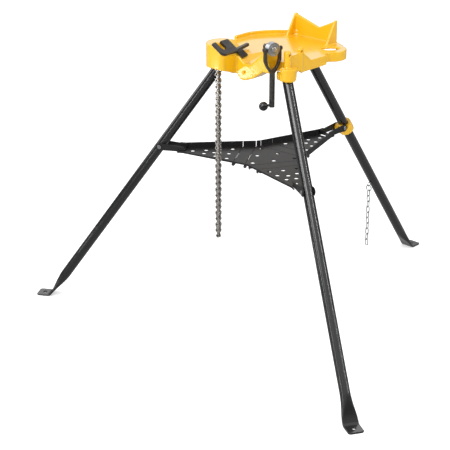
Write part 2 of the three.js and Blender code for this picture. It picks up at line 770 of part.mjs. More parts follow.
function notchTool() {
  const run = deckRadius;
  const left = [valleyLeft - run, valleyHeight + run * Math.tan(turn(leftSlope))];
  const right = [valleyRight + run, valleyHeight + run * Math.tan(turn(rightSlope))];
  const prism = sideways([[valleyLeft, valleyHeight], [valleyRight, valleyHeight], right, left],
    [noseY - cutOverrun, noseY + run]);
  const keep = block([armEdge - cutOverrun, rightArmEdge + cutOverrun], [noseY - 2 * cutOverrun, noseY + run],
    [noseBottom, hornPeak + run]);
  return moved(prism, troughTilt()).intersect(keep);
}

// Side block right of the crank, with its two ribs
function sideBlockShape() {
  const shoulder = sideBlockFront + sideBlockFrontLength;
  const foot = sideBlockBack + rimHeight;
  const prism = lengthways([[sideBlockFront, skirtBottom], [foot, skirtBottom], [foot, deckTop],
    [sideBlockSlopeStart, sideBlockWall], [shoulder, sideBlockWall], [shoulder, sideBlockTop],
    [sideBlockFront, sideBlockTop]], [crankPocketRight, deckRight]);
  const ribX = deckRight - ribRadius / 2;
  const ribs = [ribFrontY, ribBackY].map((y) => join(
    rodZ(ribX, y, [skirtBottom, ribTop - ribCap], ribRadius),
    rodZ(ribX, y, [ribTop - ribCap, ribTop], ribRadius - ribCap, ribRadius)));
  const hollow = block([crankPocketRight + castWall, deckRight - castWall],
    [sideBlockFront + castWall, sideBlockBack - castWall], [skirtBottom - cutOverrun, sideBlockWall - castWall]);
  const holes = [[ribFrontY, ribFrontHoleHeight], [ribBackY, ribBackHoleHeight]].map(([y, height]) => rodX(y, height,
    [deckRight - 2 * castWall, deckRight + ribRadius], ribHole / 2, smallSides));
  return { body: join(prism, ...ribs), hollow, holes };
}

// Socket round the top of a leg, in the leg's radial frame
function socketShape(leg) {
  const boss = rodZ(leg.reach + socketReachBeyondPivot, 0, [socketBottom, deckTop - deckThickness / 2],
    socketTopRadius, socketBottomRadius);
  const cheeks = block([leg.reach - cheekRun / 2, leg.reach + cheekRun / 2], [-cheekHalfWidth, cheekHalfWidth],
    [cheekBottom, deckTop - deckThickness / 2]);
  return join(boss, cheeks);
}

// Room for the leg to swing inwards, with its outer side as the stop that the open leg rests on
function socketPocket(leg) {
  const sweep = Math.hypot(tubeHeadroom, tubeDiameter / 2) + socketGap;
  const stop = tubeDiameter / 2 + seatGap;
  const low = legPoint(leg, 3 * tubeDiameter, stop);
  const atSweep = stop / Math.cos(turn(leg.tilt));
  const kneeDrop = (sweep - atSweep) / Math.tan(turn(leg.tilt));
  const outline = [[leg.reach - sweep, low.z], [low.x, low.z], [leg.reach + sweep, pivotHeight - kneeDrop],
    [leg.reach + sweep, pivotHeight + sweep], [leg.reach - sweep, pivotHeight + sweep]];
  const half = tubeDiameter / 2 + socketGap;
  const slot = sideways(outline, [-half, half]);
  const spotFaces = [[-cheekHalfWidth - spotFaceDepth, -cheekHalfWidth], [cheekHalfWidth, cheekHalfWidth + spotFaceDepth]];
  const reamed = rodY(leg.reach, pivotHeight, [-2 * cheekHalfWidth, 2 * cheekHalfWidth], pivotBolt / 2, smallSides);
  return join(slot, reamed, ...spotFaces.map((ys) => rodY(leg.reach, pivotHeight, ys, spotFaceRadius, 12)));
}

const chainY = armFront + armRadius / 2;
const nutInner = rightArmEdge + washerThickness + 2 * seatGap;
const nutMiddle = nutInner + nutThickness / 2;

// The screw, its nut and the crank are drawn along x, then turned about the nut towards the front
function screwMatrix() {
  const matrix = new THREE.Matrix4().makeTranslation(nutMiddle + screwShiftX, screwY + screwShiftY, 0);
  matrix.multiply(new THREE.Matrix4().makeRotationZ(turn(screwTurn)));
  return matrix.multiply(new THREE.Matrix4().makeTranslation(-nutMiddle, -screwY, 0));
}

// Lug of the right arm, with the boss that the nut pulls against
function screwLugShape() {
  const xs = [rightArmEdge - screwLugThickness, rightArmEdge];
  const lug = block(xs, [screwY - screwLugHalf, screwY + screwLugHalf], [screwLugFloor, screwLugTop]);
  return moved(join(lug, rodX(screwY, screwHeight, xs, screwBossRadius)), screwMatrix());
}

// Room for the screw, for the catch on its inner end and for the crank's fork
function screwRooms() {
  const catchEnd = screwInner - catchThickness - 2 * seatGap;
  const bore = rodX(screwY, screwHeight, [0, rightArmEdge + cutOverrun], screwDiameter / 2 + seatGap);
  const catchRoom = rodX(screwY, screwHeight, [catchEnd, rightArmEdge - screwLugThickness], catchRadius + slideGap);
  const forkHalf = crankHalfSpan + crankPinHeadHeight + 2 * cutOverrun;
  const fork = block([rightArmEdge, nutMiddle + forkRoomWidth], [screwY - forkHalf, screwY + forkHalf],
    [socketBottom + forkRoomWidth, hornPeak]);
  return moved(join(bore, catchRoom, fork), screwMatrix());
}

function headShape() {
  const deck = raised(deckOutline(0), [skirtBottom, deckTop], 20);
  const cavity = raised(deckOutline(castWall), [skirtBottom - cutOverrun, deckTop - deckThickness], 12);
  const lobe = cut(rodZ(lobeX, lobeY, [skirtBottom, deckTop], lobeRadius, lobeRadius, 2 * roundSides),
    rodZ(lobeX, lobeY, [skirtBottom - cutOverrun, deckTop - deckThickness], lobeRadius - castWall));
  const eye = new THREE.Shape();
  eye.absellipse(lobeX, lobeY, eyeHalfWidth, eyeHalfLength, 0, 2 * Math.PI, false, turn(-35));
  const window = block([-eyeWindowWidth / 2, eyeWindowWidth / 2], [0, eyeWindowLength],
    [skirtBottom - cutOverrun, deckTop - deckThickness]);
  const windowMatrix = new THREE.Matrix4().makeRotationZ(turn(eyeWindowTurn)).setPosition(lobeX, lobeY, 0);
  const side = sideBlockShape();
  let body = join(cut(join(cut(deck, cavity), lobe), moved(window, windowMatrix)), rimShape(), hornShape(),
    leftArmShape(), viseBlockShape(), side.body);
  body = join(body, ...legs.map((leg) => turned(socketShape(leg), leg.azimuth)));
  body = cut(body, notchTool(), raised(eye, [skirtBottom - cutOverrun, deckTop + cutOverrun], 16), side.hollow,
    ...side.holes);
  body = join(body, screwLugShape());
  const passage = [chainX - plateHeight, armEdge - jawSlotDepth];
  const chainHole = block(passage, [chainY - chainRoom, chainY + chainRoom],
    [armBottomBack - cutOverrun, armTopMost + cutOverrun]);
  const bedHalf = hookPin / 2 + seatGap;
  const bedEnds = [chainY - hookPinHalf - slideGap, chainY + hookPinHalf + slideGap];
  const hookBed = join(rodY(chainX, hookPinHeight, bedEnds, bedHalf),
    block([chainX - bedHalf, chainX + bedHalf], bedEnds, [hookPinHeight, armTopMost + cutOverrun]));
  const noseHole = rodY(valleyLeft, (valleyHeight + noseBottom) / 2, [noseY - cutOverrun, noseY + noseDepth / 2],
    noseScrewHole / 2, smallSides);
  const sockets = legs.map((leg) => turned(socketPocket(leg), leg.azimuth));
  const crankRoom = block([rightArmEdge, crankPocketRight], [noseY - deckRadius, crankPocketBack],
    [deckTop, rightArmTop]);
  return cut(body, chainHole, hookBed, noseHole, crankRoom, screwRooms(), ...sockets,
    ...jawScrewPlaces.map(jawScrewBore));
}

// Hook jaw: a U-shaped plate on the arm's slope, a bar along its inner edge and a toothed leg down the V

// From the jaw's plane, where u runs up the slope, v along y and w out of the plate, to the head
function jawMatrix() {
  const slope = turn(armSlope);
  const up = new THREE.Vector3(-Math.cos(slope), 0, Math.sin(slope));
  const along = new THREE.Vector3(0, -1, 0);
  const outward = new THREE.Vector3(Math.sin(slope), 0, Math.cos(slope));
  const origin = new THREE.Vector3(armEdge, 0, armTopEdge).addScaledVector(outward, seatGap);
  return new THREE.Matrix4().makeBasis(up, along, outward).setPosition(origin);
}

const jawRun = jawLength / Math.cos(turn(armSlope));
const jawScrewPlaces = [[jawRun * 0.3, -(chainY + jawSlotWidth)], [jawRun * 0.75, -(chainY + jawSlotWidth)]];

function jawScrewBore([u, v]) {
  const bore = rodZ(u, v, [-jawScrewLength - seatGap, jawThickness], jawScrew / 2 + seatGap, jawScrew / 2 + seatGap,
    smallSides);
  return moved(bore, jawMatrix());
}

function jawShape() {
  const slotFrom = -(chainY + jawSlotWidth / 2);
  const slotTo = -(chainY - jawSlotWidth / 2);
  const plan = new THREE.Shape();
  plan.moveTo(0, -jawBack);
  plan.lineTo(0, -armFront - slideGap - armCorner);
  plan.absarc(armCorner, -armFront - slideGap - armCorner, armCorner, turn(180), turn(90), true);
  plan.lineTo(jawRun, -armFront - slideGap);
  plan.lineTo(jawRun, slotTo);
  plan.lineTo(jawSlotDepth + jawSlotWidth / 2, slotTo);
  plan.absarc(jawSlotDepth + jawSlotWidth / 2, (slotFrom + slotTo) / 2, jawSlotWidth / 2, turn(90), turn(270), false);
  plan.lineTo(jawRun, slotFrom);
  plan.lineTo(jawRun, -jawBack);
  const hook = moved(raised(plan, [0, jawThickness], 6), jawMatrix());
  const barFloor = armTopEdge + slideGap;
  const flatBar = block([armEdge - jawBarWidth, armEdge - seatGap], [jawBack - jawBarWidth, jawBarBack],
    [barFloor, barFloor + jawThickness]);
  const bar = moved(flatBar, barMatrix());
  const bores = jawScrewPlaces.map(([u, v]) => moved(join(
    rodZ(u, v, [-cutOverrun, jawThickness + cutOverrun], jawScrew / 2 + seatGap, jawScrew / 2 + seatGap, smallSides),
    rodZ(u, v, [jawThickness - jawScrewHeadHeight, jawThickness + cutOverrun], jawScrewHead / 2 + seatGap,
      jawScrewHead / 2 + seatGap, smallSides)), jawMatrix()));
  return cut(join(hook, bar, jawLegShape()), ...bores);
}

// The bar rises towards the back as the trough does
function barMatrix() {
  const front = jawBack - jawBarWidth;
  const matrix = new THREE.Matrix4().makeTranslation(0, front, armTopEdge);
  matrix.multiply(new THREE.Matrix4().makeRotationX(turn(troughRise)));
  return matrix.multiply(new THREE.Matrix4().makeTranslation(0, -front, -armTopEdge));
}

// The leg lies on the V's left slope, with cross teeth on its upper face
function jawLegShape() {
  const slope = turn(leftSlope);
  const down = new THREE.Vector2(Math.cos(slope), -Math.sin(slope));
  const off = new THREE.Vector2(Math.sin(slope), Math.cos(slope));
  const wallTop = valleyHeight + (valleyLeft - armEdge) * Math.tan(slope);
  const start = new THREE.Vector2(armEdge, wallTop).addScaledVector(off, slideGap);
  const at = (along, out) => start.clone().addScaledVector(down, along).addScaledVector(off, out);
  const points = [at(-jawLegThickness, 0), at(jawLegLength, 0), at(jawLegLength, jawLegThickness)];
  const step = jawLegLength / jawTeeth;
  for (let tooth = jawTeeth; tooth > 0; tooth -= 1) {
    points.push(at((tooth - 0.5) * step, jawLegThickness + toothDepth), at((tooth - 1) * step, jawLegThickness));
  }
  points.push(at(-jawLegThickness, jawLegThickness));
  const ys = [jawBack, jawBack + jawLegWidth];
  return moved(sideways(points.map((p) => [p.x, p.y]), ys), troughTilt());
}

function jawScrewShape([u, v]) {
  const floor = jawThickness - jawScrewHeadHeight + seatGap;
  const shank = rodZ(u, v, [-jawScrewLength, floor + seatGap], jawScrew / 2, jawScrew / 2, smallSides);
  const head = rodZ(u, v, [floor, jawThickness], jawScrewHead / 2, jawScrewHead / 2, smallSides);
  return moved(join(shank, head), jawMatrix());
}

place(model, 'vise_head', headShape(), 'yellow');
place(model, 'hook_jaw', jawShape(), 'forged');
jawScrewPlaces.forEach((spot, index) => {
  place(model, `jaw_screw_${index + 1}`, jawScrewShape(spot), 'forged');
});

// Tension screw and its crank

function tensionScrewShape() {
  return rodX(screwY, screwHeight, [screwInner, screwOuter], screwDiameter / 2);
}

// Catch for the chain's end on the inner end of the screw: a disc with a slot across its upper half
function chainCatchShape() {
  const xs = [screwInner - catchThickness - seatGap, screwInner - seatGap];
  const disc = rodX(screwY, screwHeight, xs, catchRadius);
  const slot = block([xs[0] - cutOverrun, xs[1] - seatGap - catchThickness / 3], [screwY - catchSlot / 2, screwY + catchSlot / 2],
    [screwHeight, screwHeight + catchRadius + cutOverrun]);
  return cut(disc, slot);
}

function washerShape() {
  const xs = [rightArmEdge + seatGap, rightArmEdge + seatGap + washerThickness];
  const disc = rodX(screwY, screwHeight, xs, washerRadius);
  return cut(disc, rodX(screwY, screwHeight, [0, screwOuter], screwDiameter / 2 + seatGap));
}

function tensionNutShape() {
  const disc = rodX(screwY, screwHeight, [nutInner, nutInner + nutThickness], nutRadius);
  const bore = rodX(screwY, screwHeight, [0, screwOuter + cutOverrun], screwDiameter / 2 + seatGap);
  const pinBore = rodY(nutMiddle, screwHeight, [screwY - 2 * nutRadius, screwY + 2 * nutRadius], crankPin / 2 - seatGap,
    smallSides);
  const middle = rodX(screwY, screwHeight, [0, screwOuter], screwDiameter / 2 + 3 * seatGap);
  return cut(disc, bore, cut(pinBore, middle));
}

// Crank: a fork whose arms run down from the nut's side pins, close together and end in a straight rod
function crankShape() {
  const half = crankHalfSpan;
  const arm = crankArmWidth;
  const outline = new THREE.Shape();
  const y = (offset) => screwY + offset;
  const z = (drop) => screwHeight - drop;
  const neck = crankRodDiameter / 2;
  outline.moveTo(y(half), z(-arm / 2));
  outline.lineTo(y(half), z(crankArmDrop));
  outline.quadraticCurveTo(y(half - arm / 2), z((crankArmDrop + crankForkDrop) / 2), y(neck), z(crankForkDrop + arm));
  outline.lineTo(y(-neck), z(crankForkDrop + arm));
  outline.quadraticCurveTo(y(arm / 2 - half), z((crankArmDrop + crankForkDrop) / 2), y(-half), z(crankArmDrop));
  outline.lineTo(y(-half), z(-arm / 2));
  outline.lineTo(y(arm - half), z(-arm / 2));
  outline.lineTo(y(arm - half), z(crankArmDrop - arm / 2));
  outline.quadraticCurveTo(y(arm * 1.4 - half), z(crankForkDrop - arm), y(0), z(crankForkDrop));
  outline.quadraticCurveTo(y(half - arm * 1.4), z(crankForkDrop - arm), y(half - arm), z(crankArmDrop - arm / 2));
  outline.lineTo(y(half - arm), z(-arm / 2));
  const prism = new THREE.ExtrudeGeometry(outline, { depth: crankArmDepth, bevelEnabled: false, curveSegments: 5 });
  prism.rotateX(turn(90)).rotateZ(turn(90)).translate(nutMiddle - crankArmDepth / 2, 0, 0);
  const rod = rodZ(nutMiddle, screwY, [z(crankLength + neck), z(crankForkDrop)], neck, neck, 14);
  const peg = rodY(nutMiddle, z(crankLength), [y(-neck - knobPegLength), y(0)], knobPeg / 2, smallSides);
  const pinBores = rodY(nutMiddle, screwHeight, [y(-2 * half), y(2 * half)], crankPin / 2 + seatGap, smallSides);
  return cut(join(solid(prism), rod, peg), pinBores);
}

function crankPinShape(side) {
  const from = screwDiameter / 2 + 3 * seatGap + slideGap;
  const seat = crankHalfSpan + seatGap;
  const ys = [screwY + side * from, screwY + side * seat].sort((a, b) => a - b);
  const heads = [screwY + side * seat, screwY + side * (seat + crankPinHeadHeight)].sort((a, b) => a - b);
  return join(rodY(nutMiddle, screwHeight, ys, crankPin / 2 - 2 * seatGap, smallSides),
    rodY(nutMiddle, screwHeight, heads, crankPinHead / 2, smallSides));
}

function knobShape() {
  const ball = new THREE.SphereGeometry(knobDiameter / 2, 16, 10);
  const centre = screwY - knobOffset;
  const height = screwHeight - crankLength;
  const bore = rodY(nutMiddle, height, [centre - knobPegLength / 3, centre + knobDiameter], knobPeg / 2 + seatGap,
    smallSides);
  return cut(solid(ball.translate(nutMiddle, centre, height)), bore);
}

const screwFrame = new THREE.Group();
screwFrame.applyMatrix4(screwMatrix());
model.add(screwFrame);
place(screwFrame, 'tension_screw', tensionScrewShape(), 'zinc');
place(screwFrame, 'chain_catch', chainCatchShape(), 'forged');
place(screwFrame, 'thrust_washer', washerShape(), 'zinc');
place(screwFrame, 'tension_nut', tensionNutShape(), 'zinc');
place(screwFrame, 'crank', crankShape(), 'forged');
place(screwFrame, 'crank_pin_front', crankPinShape(-1), 'zinc');
place(screwFrame, 'crank_pin_back', crankPinShape(1), 'zinc');
place(screwFrame, 'crank_knob', knobShape(), 'forged');

// Vise chain, hanging from a cross pin that lies in two beds beside the arm's passage, under the jaw

const chainTop = hookPinHeight;

// One chain plate from the pin at z down to the next, waisted between its two round ends
function chainPlate(top, [y0, y1]) {
  const end = plateHeight / 2;
  const outline = new THREE.Shape();
  outline.absarc(0, top, end, turn(-40), turn(220), false);
  outline.lineTo(-plateWaist / 2, top - chainPitch / 2);
  outline.absarc(0, top - chainPitch, end, turn(140), turn(400), false);
  outline.lineTo(plateWaist / 2, top - chainPitch / 2);
  return sideways(outline, [y0, y1], 2);
}

function chainPlatePair(top, near) {
  return join(chainPlate(top, [near, near + plateThickness]), chainPlate(top, [-near - plateThickness, -near]));
}

function chainPinAt(z) {
  return rodY(0, z, [-chainPinHalf, chainPinHalf], chainPin / 2, chainSides);
}

// A run of links from its top pin hole down: inner and outer pairs in turn, with a pin at each lower end
function chainRun(top, links) {
  const pieces = [];
  for (let link = 0; link < links; link += 1) {
    const from = top - link * chainPitch;
    pieces.push(chainPlatePair(from, link % 2 ? outerPlateAt : innerPlateAt), chainPinAt(from - chainPitch));
  }
  const hole = rodY(0, top, [-chainPinHalf, chainPinHalf], chainPin / 2 + slideGap, chainSides);
  return cut(join(...pieces), hole).translate([chainX, chainY, 0]);
}

function chainHookShape() {
  const bar = rodY(0, chainTop, [-hookPinHalf, hookPinHalf], hookPin / 2, smallSides);
  const pair = chainPlatePair(chainTop, outerPlateAt);
  return join(bar, pair, chainPinAt(chainTop - chainPitch)).translate([chainX, chainY, 0]);
}

place(model, 'chain_hook', chainHookShape(), 'chainSteel');
let runTop = chainTop - chainPitch;
chainRunLinks.forEach((links, index) => {
  place(model, `chain_run_${index + 1}`, chainRun(runTop, links), 'chainSteel');
  runTop -= links * chainPitch;
});

// Retaining chain on the rear leg: an eye in the tube's inner side, a ring and plain links

function wireLoop(halfLength, halfWidth, radius) {
  const straight = halfLength - halfWidth;
  const corners = 12;
  const rings = [];
  for (let i = 0; i < corners; i += 1) {
    const angle = (2 * Math.PI * i) / corners;
    const across = Math.sin(angle);
    const along = Math.cos(angle);
    const lift = Math.abs(along) < 1e-6 ? 0 : Math.sign(along) * straight;
    rings.push(Array.from({ length: 5 }, (_, side) => {
      const turnSide = (2 * Math.PI * side) / 5;
      const out = (halfWidth - radius) + radius * Math.cos(turnSide);
      return new THREE.Vector3(across * out, radius * Math.sin(turnSide), along * out + lift);
    }));
  }
  const faces = [];
  for (let ring = 0; ring < corners; ring += 1) {
    for (let side = 0; side < 5; side += 1) {
      const a = ring * 5 + side;
      const b = ring * 5 + (side + 1) % 5;
      const c = ((ring + 1) % corners) * 5 + side;
      const d = ((ring + 1) % corners) * 5 + (side + 1) % 5;
      faces.push(a, c, b, b, c, d);
    }
  }
  const geometry = new THREE.BufferGeometry();
  geometry.setAttribute('position', new THREE.Float32BufferAttribute(rings.flat().flatMap((p) => p.toArray()), 3));
  geometry.setIndex(faces);
  return geometry;
}

const wireRadius = wire / 2;
const eyeDown = (pivotHeight - eyeHeight) / Math.cos(turn(rearLegTilt));
const eyeCentre = legPoint(rearLeg, eyeDown, -tubeDiameter / 2 - eyeShank);

function eyeShape() {
  const loop = solid(wireLoop(eyeRadius + wire, eyeRadius + wire, wireRadius));
  const matrix = new THREE.Matrix4().makeRotationY(-turn(rearLegTilt)).setPosition(eyeCentre);
  const shank = rodX(0, 0, [eyeRadius + wireRadius, eyeShank - seatGap], wireRadius * 1.5, 8);
  return moved(join(loop, shank), matrix);
}

place(rearLeg.frame, 'chain_eye', eyeShape(), 'zinc');
let linkTop = eyeCentre.z - eyeRadius + seatGap;
const ringHang = linkTop + wire;
const ring = place(rearLeg.frame, 'chain_ring', solid(wireLoop(ringRadius, ringRadius, wireRadius)), 'zinc');
ring.rotation.z = turn(90);
ring.position.set(eyeCentre.x, 0, ringHang - ringRadius);
linkTop = ringHang - 2 * ringRadius + wire + seatGap;
for (let link = 0; link < linkCount; link += 1) {
  const mesh = place(rearLeg.frame, `chain_link_${link + 1}`,
    solid(wireLoop(linkLength / 2, linkWidth / 2, wireRadius)), 'zinc');
  mesh.rotation.z = link % 2 ? turn(90) : 0;
  mesh.position.set(eyeCentre.x, 0, linkTop + wire - linkLength / 2);
  linkTop -= linkLength - 2 * wire - seatGap;
}

// The part stands on the floor with its origin under the middle of its footprint
model.updateMatrixWorld(true);
const footprint = new THREE.Box3().setFromObject(model).getCenter(new THREE.Vector3());
model.position.set(-footprint.x, -footprint.y, 0);

export default model;
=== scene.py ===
# %% [markdown]
# # A tripod chain vise
#
# This is a workshop stand that holds pipe: a cast head painted yellow, three tube legs that fold, a pressed
# tray that folds with them, a plate chain that goes over the pipe, and a crank that pulls the chain tight.
# We start from the measured frame, which fixes every size and every moving body, and dress it piece by
# piece.

# %% Load the frame
import math
import bpy
from mathutils import Matrix, Vector


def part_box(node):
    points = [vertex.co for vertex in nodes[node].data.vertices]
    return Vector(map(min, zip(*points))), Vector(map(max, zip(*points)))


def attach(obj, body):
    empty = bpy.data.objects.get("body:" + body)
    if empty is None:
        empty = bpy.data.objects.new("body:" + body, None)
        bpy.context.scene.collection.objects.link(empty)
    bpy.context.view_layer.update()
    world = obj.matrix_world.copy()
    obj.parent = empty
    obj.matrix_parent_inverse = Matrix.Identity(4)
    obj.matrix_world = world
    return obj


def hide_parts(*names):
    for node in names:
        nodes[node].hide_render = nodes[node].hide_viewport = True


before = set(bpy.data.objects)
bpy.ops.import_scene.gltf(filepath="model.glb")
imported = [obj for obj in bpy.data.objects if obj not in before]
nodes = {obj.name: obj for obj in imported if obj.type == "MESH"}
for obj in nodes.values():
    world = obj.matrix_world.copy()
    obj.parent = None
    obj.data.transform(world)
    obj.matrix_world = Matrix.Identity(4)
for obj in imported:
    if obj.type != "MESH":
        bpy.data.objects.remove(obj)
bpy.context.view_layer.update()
MM = 0.001

# %% [markdown]
# ## Camera
#
# The photograph is a studio product shot: the camera stands well back at the right front and looks down a
# little. A long lens far away keeps the legs nearly parallel, so we set the lens from the field of view that
# was measured.

# %% Camera
LENS_MM = 112.68
SENSOR_MM = 36
CAMERA_PLACE = (2.7781, -3.4039, 2.0743)
HEADING, PITCH_DOWN = math.radians(132.879), math.radians(-22.458)

scene = bpy.context.scene
camera_data = bpy.data.cameras.new("camera")
camera_data.lens = LENS_MM
camera_data.sensor_width = SENSOR_MM
camera = bpy.data.objects.new("camera", camera_data)
scene.collection.objects.link(camera)
camera.location = CAMERA_PLACE
level = math.cos(PITCH_DOWN)
looking = Vector((math.cos(HEADING) * level, math.sin(HEADING) * level, math.sin(PITCH_DOWN)))
camera.rotation_euler = looking.to_track_quat("-Z", "Y").to_euler()
scene.camera = camera
print("camera looks along", [round(v, 3) for v in looking])

# %% [markdown]
# ## Floor and light
#
# The stand was photographed on seamless white. The Light Path node lets the camera see plain white while
# each kind of surface is lit as it was in the studio, so that no lamp has to be turned up to make the
# background bright. The glossy paint reflects dark walls, a bright ceiling and a floor dimmer than the
# camera sees it.

# %% Adding one node, and colours as the eye sees them


def add_node(tree, kind, links=(), **settings):
    node = tree.nodes.new(kind)
    for name, value in settings.items():
        if name.startswith("in_"):
            node.inputs[name[3:].replace("_", " ")].default_value = value
        else:
            setattr(node, name, value)
    for source, socket in links:
        tree.links.new(source, node.inputs[socket])
    return node


def linear(code):
    """Turns a colour code into linear values, by the curve of the sRGB standard."""
    values = [int(code[i:i + 2], 16) / 255 for i in (1, 3, 5)]
    return [v / 12.92 if v <= 0.04045 else ((v + 0.055) / 1.055) ** 2.4 for v in values] + [1.0]


WHITE = linear("#FFFFFF")

# %% White surroundings
# Matte surfaces are lit evenly from all sides. Reflections rise from the walls' light to the ceiling's.
MATTE_LIGHT = 0.6
WALL_HEIGHT, CEILING_HEIGHT = 0.1, 0.75
WALL_LIGHT, CEILING_LIGHT = 0.1, 0.9

scene.view_settings.view_transform = "Standard"
world = bpy.data.worlds.new("studio")
scene.world = world
world.use_nodes = True
sky = world.node_tree
sky.nodes.clear()
path = add_node(sky, "ShaderNodeLightPath")
way = add_node(sky, "ShaderNodeTexCoord").outputs["Generated"]
height = add_node(sky, "ShaderNodeSeparateXYZ", [(way, "Vector")]).outputs["Z"]
ceiling = add_node(sky, "ShaderNodeMapRange", [(height, "Value")], interpolation_type="SMOOTHSTEP",
                   in_From_Min=WALL_HEIGHT, in_From_Max=CEILING_HEIGHT, in_To_Min=WALL_LIGHT,
                   in_To_Max=CEILING_LIGHT)
plain = add_node(sky, "ShaderNodeBackground", in_Color=WHITE, in_Strength=MATTE_LIGHT)
studio = add_node(sky, "ShaderNodeBackground", [(ceiling.outputs["Result"], "Strength")], in_Color=WHITE)
white = add_node(sky, "ShaderNodeBackground", in_Color=WHITE, in_Strength=1.0)
shiny = add_node(sky, "ShaderNodeMixShader",
                 [(path.outputs["Is Glossy Ray"], 0), (plain.outputs[0], 1), (studio.outputs[0], 2)])
mixed = add_node(sky, "ShaderNodeMixShader",
                 [(path.outputs["Is Camera Ray"], 0), (shiny.outputs[0], 1), (white.outputs[0], 2)])
add_node(sky, "ShaderNodeOutputWorld", [(mixed.outputs[0], "Surface")])

# %% Floor
FLOOR_SIZE = 14
CAMERA_GLOW = 0.5
REFLECTED_GLOW = 0.4

bpy.ops.object.select_all(action="DESELECT")
bpy.ops.mesh.primitive_plane_add(size=FLOOR_SIZE, location=(0, 0, 0))
floor = bpy.context.object
floor.name = "floor"
paper = bpy.data.materials.new("white_floor")
paper.use_nodes = True
tree = paper.node_tree
tree.nodes.clear()
path = add_node(tree, "ShaderNodeLightPath")
matte = add_node(tree, "ShaderNodeBsdfDiffuse", in_Color=linear("#F2F2F2"))
glow = add_node(tree, "ShaderNodeEmission", in_Color=WHITE, in_Strength=CAMERA_GLOW)
dim = add_node(tree, "ShaderNodeEmission", in_Color=WHITE, in_Strength=REFLECTED_GLOW)
lit = add_node(tree, "ShaderNodeAddShader", [(matte.outputs[0], 0), (glow.outputs[0], 1)])
shiny = add_node(tree, "ShaderNodeMixShader",
                 [(path.outputs["Is Glossy Ray"], 0), (matte.outputs[0], 1), (dim.outputs[0], 2)])
mixed = add_node(tree, "ShaderNodeMixShader",
                 [(path.outputs["Is Camera Ray"], 0), (shiny.outputs[0], 1), (lit.outputs[0], 2)])
add_node(tree, "ShaderNodeOutputMaterial", [(mixed.outputs[0], "Surface")])
floor.data.materials.append(paper)

# %% Lamps
# Each lamp has its place, width and height in metres, its power in watts and the point that it is turned to.
STAND = (0, -0.2, 0.6)
NOSE = (-0.03, -0.309, 0.85)
LAMPS = {
    "key": ((0.4, -3.2, 3.6), 2.0, 2.0, 74, STAND),
    "left_fill": ((-3.4, -1.2, 2.2), 2.0, 2.4, 30, STAND),
    "back_box": ((-2.7, 2.7, 2.5), 3.0, 1.8, 15, STAND),
    "left_strip": ((-0.7, -3.7, 1.5), 0.26, 2.8, 24, STAND),
    "low_front": ((-1.33, -1.73, 0.27), 0.11, 0.11, 0.6, NOSE),
    "right_strip": ((3.1, 1.2, 2.3), 0.11, 2.4, 30, STAND),
}
for name, (place, wide, tall, power, aim) in LAMPS.items():
    lamp_data = bpy.data.lights.new(name, "AREA")
    lamp_data.shape = "RECTANGLE"
    lamp_data.size = wide
    lamp_data.size_y = tall
    lamp_data.energy = power
    lamp = bpy.data.objects.new(name, lamp_data)
    scene.collection.objects.link(lamp)
    lamp.location = place
    lamp.rotation_euler = (Vector(aim) - Vector(place)).to_track_quat("-Z", "Y").to_euler()

# %% [markdown]
# ## Helpers for modelling by hand in code
#
# Operators act on whatever is selected, so everything is deselected first and faces or edges are then picked
# by their place. A finished piece keeps its place in its mesh, with its object at the origin.

# %% Selecting and editing
SHARP = math.radians(35)


def focus(piece):
    if bpy.context.object and bpy.context.object.mode != "OBJECT":
        bpy.ops.object.mode_set(mode="OBJECT")
    bpy.ops.object.select_all(action="DESELECT")
    piece.select_set(True)
    bpy.context.view_layer.objects.active = piece


def pick(piece, test, kind="FACE"):
    """Leaves the piece in edit mode, with the faces or vertices selected that pass the test."""
    focus(piece)
    bpy.ops.object.mode_set(mode="EDIT")
    bpy.ops.mesh.select_mode(type=kind)
    bpy.ops.mesh.select_all(action="DESELECT")
    bpy.ops.object.mode_set(mode="OBJECT")
    if kind == "FACE":
        for face in piece.data.polygons:
            face.select = bool(test(face.center, face.normal))
    else:
        for vertex in piece.data.vertices:
            vertex.select = bool(test(vertex.co, vertex.normal))
    bpy.ops.object.mode_set(mode="EDIT")


def everything(piece):
    focus(piece)
    bpy.ops.object.mode_set(mode="EDIT")
    bpy.ops.mesh.select_all(action="SELECT")


def done(piece):
    bpy.ops.object.mode_set(mode="OBJECT")
    return piece


def settle(piece):
    focus(piece)
    bpy.ops.object.transform_apply(location=True, rotation=True, scale=True)
    return piece


def modify(piece, kind, **settings):
    focus(piece)
    modifier = piece.modifiers.new(kind.lower(), kind)
    for name, value in settings.items():
        setattr(modifier, name, value)
    bpy.ops.object.modifier_apply(modifier=modifier.name)


# %% Edges, skins and cuts


def shade(piece):
    """Smooth shading, except over edges sharper than SHARP."""
    focus(piece)
    bpy.ops.object.shade_smooth_by_angle(angle=SHARP)
    return piece


def soften(piece, width, segments=2, angle=30):
    modify(piece, "BEVEL", width=width, segments=segments, limit_method="ANGLE",
           angle_limit=math.radians(angle), use_clamp_overlap=True)
    shade(piece)
    modify(piece, "WEIGHTED_NORMAL", keep_sharp=True)


def dome(piece, way, axis, depth):
    """Rounds the outer edge of an end face into a low dome."""
    pick(piece, lambda c, n: n[axis] * way > 0.9)
    bpy.ops.mesh.bevel(offset=depth, segments=4, profile=0.5)
    return done(piece)


def skin(piece, cell, passes):
    """Rebuilds the piece as an even skin of small cells and relaxes it, which rounds all its edges alike."""
    modify(piece, "REMESH", mode="VOXEL", voxel_size=cell, use_smooth_shade=True)
    modify(piece, "SMOOTH", factor=0.5, iterations=passes)


def cut(piece, tool):
    modify(piece, "BOOLEAN", operation="DIFFERENCE", object=tool, solver="EXACT")
    bpy.data.objects.remove(tool)


# %% Making, copying and joining


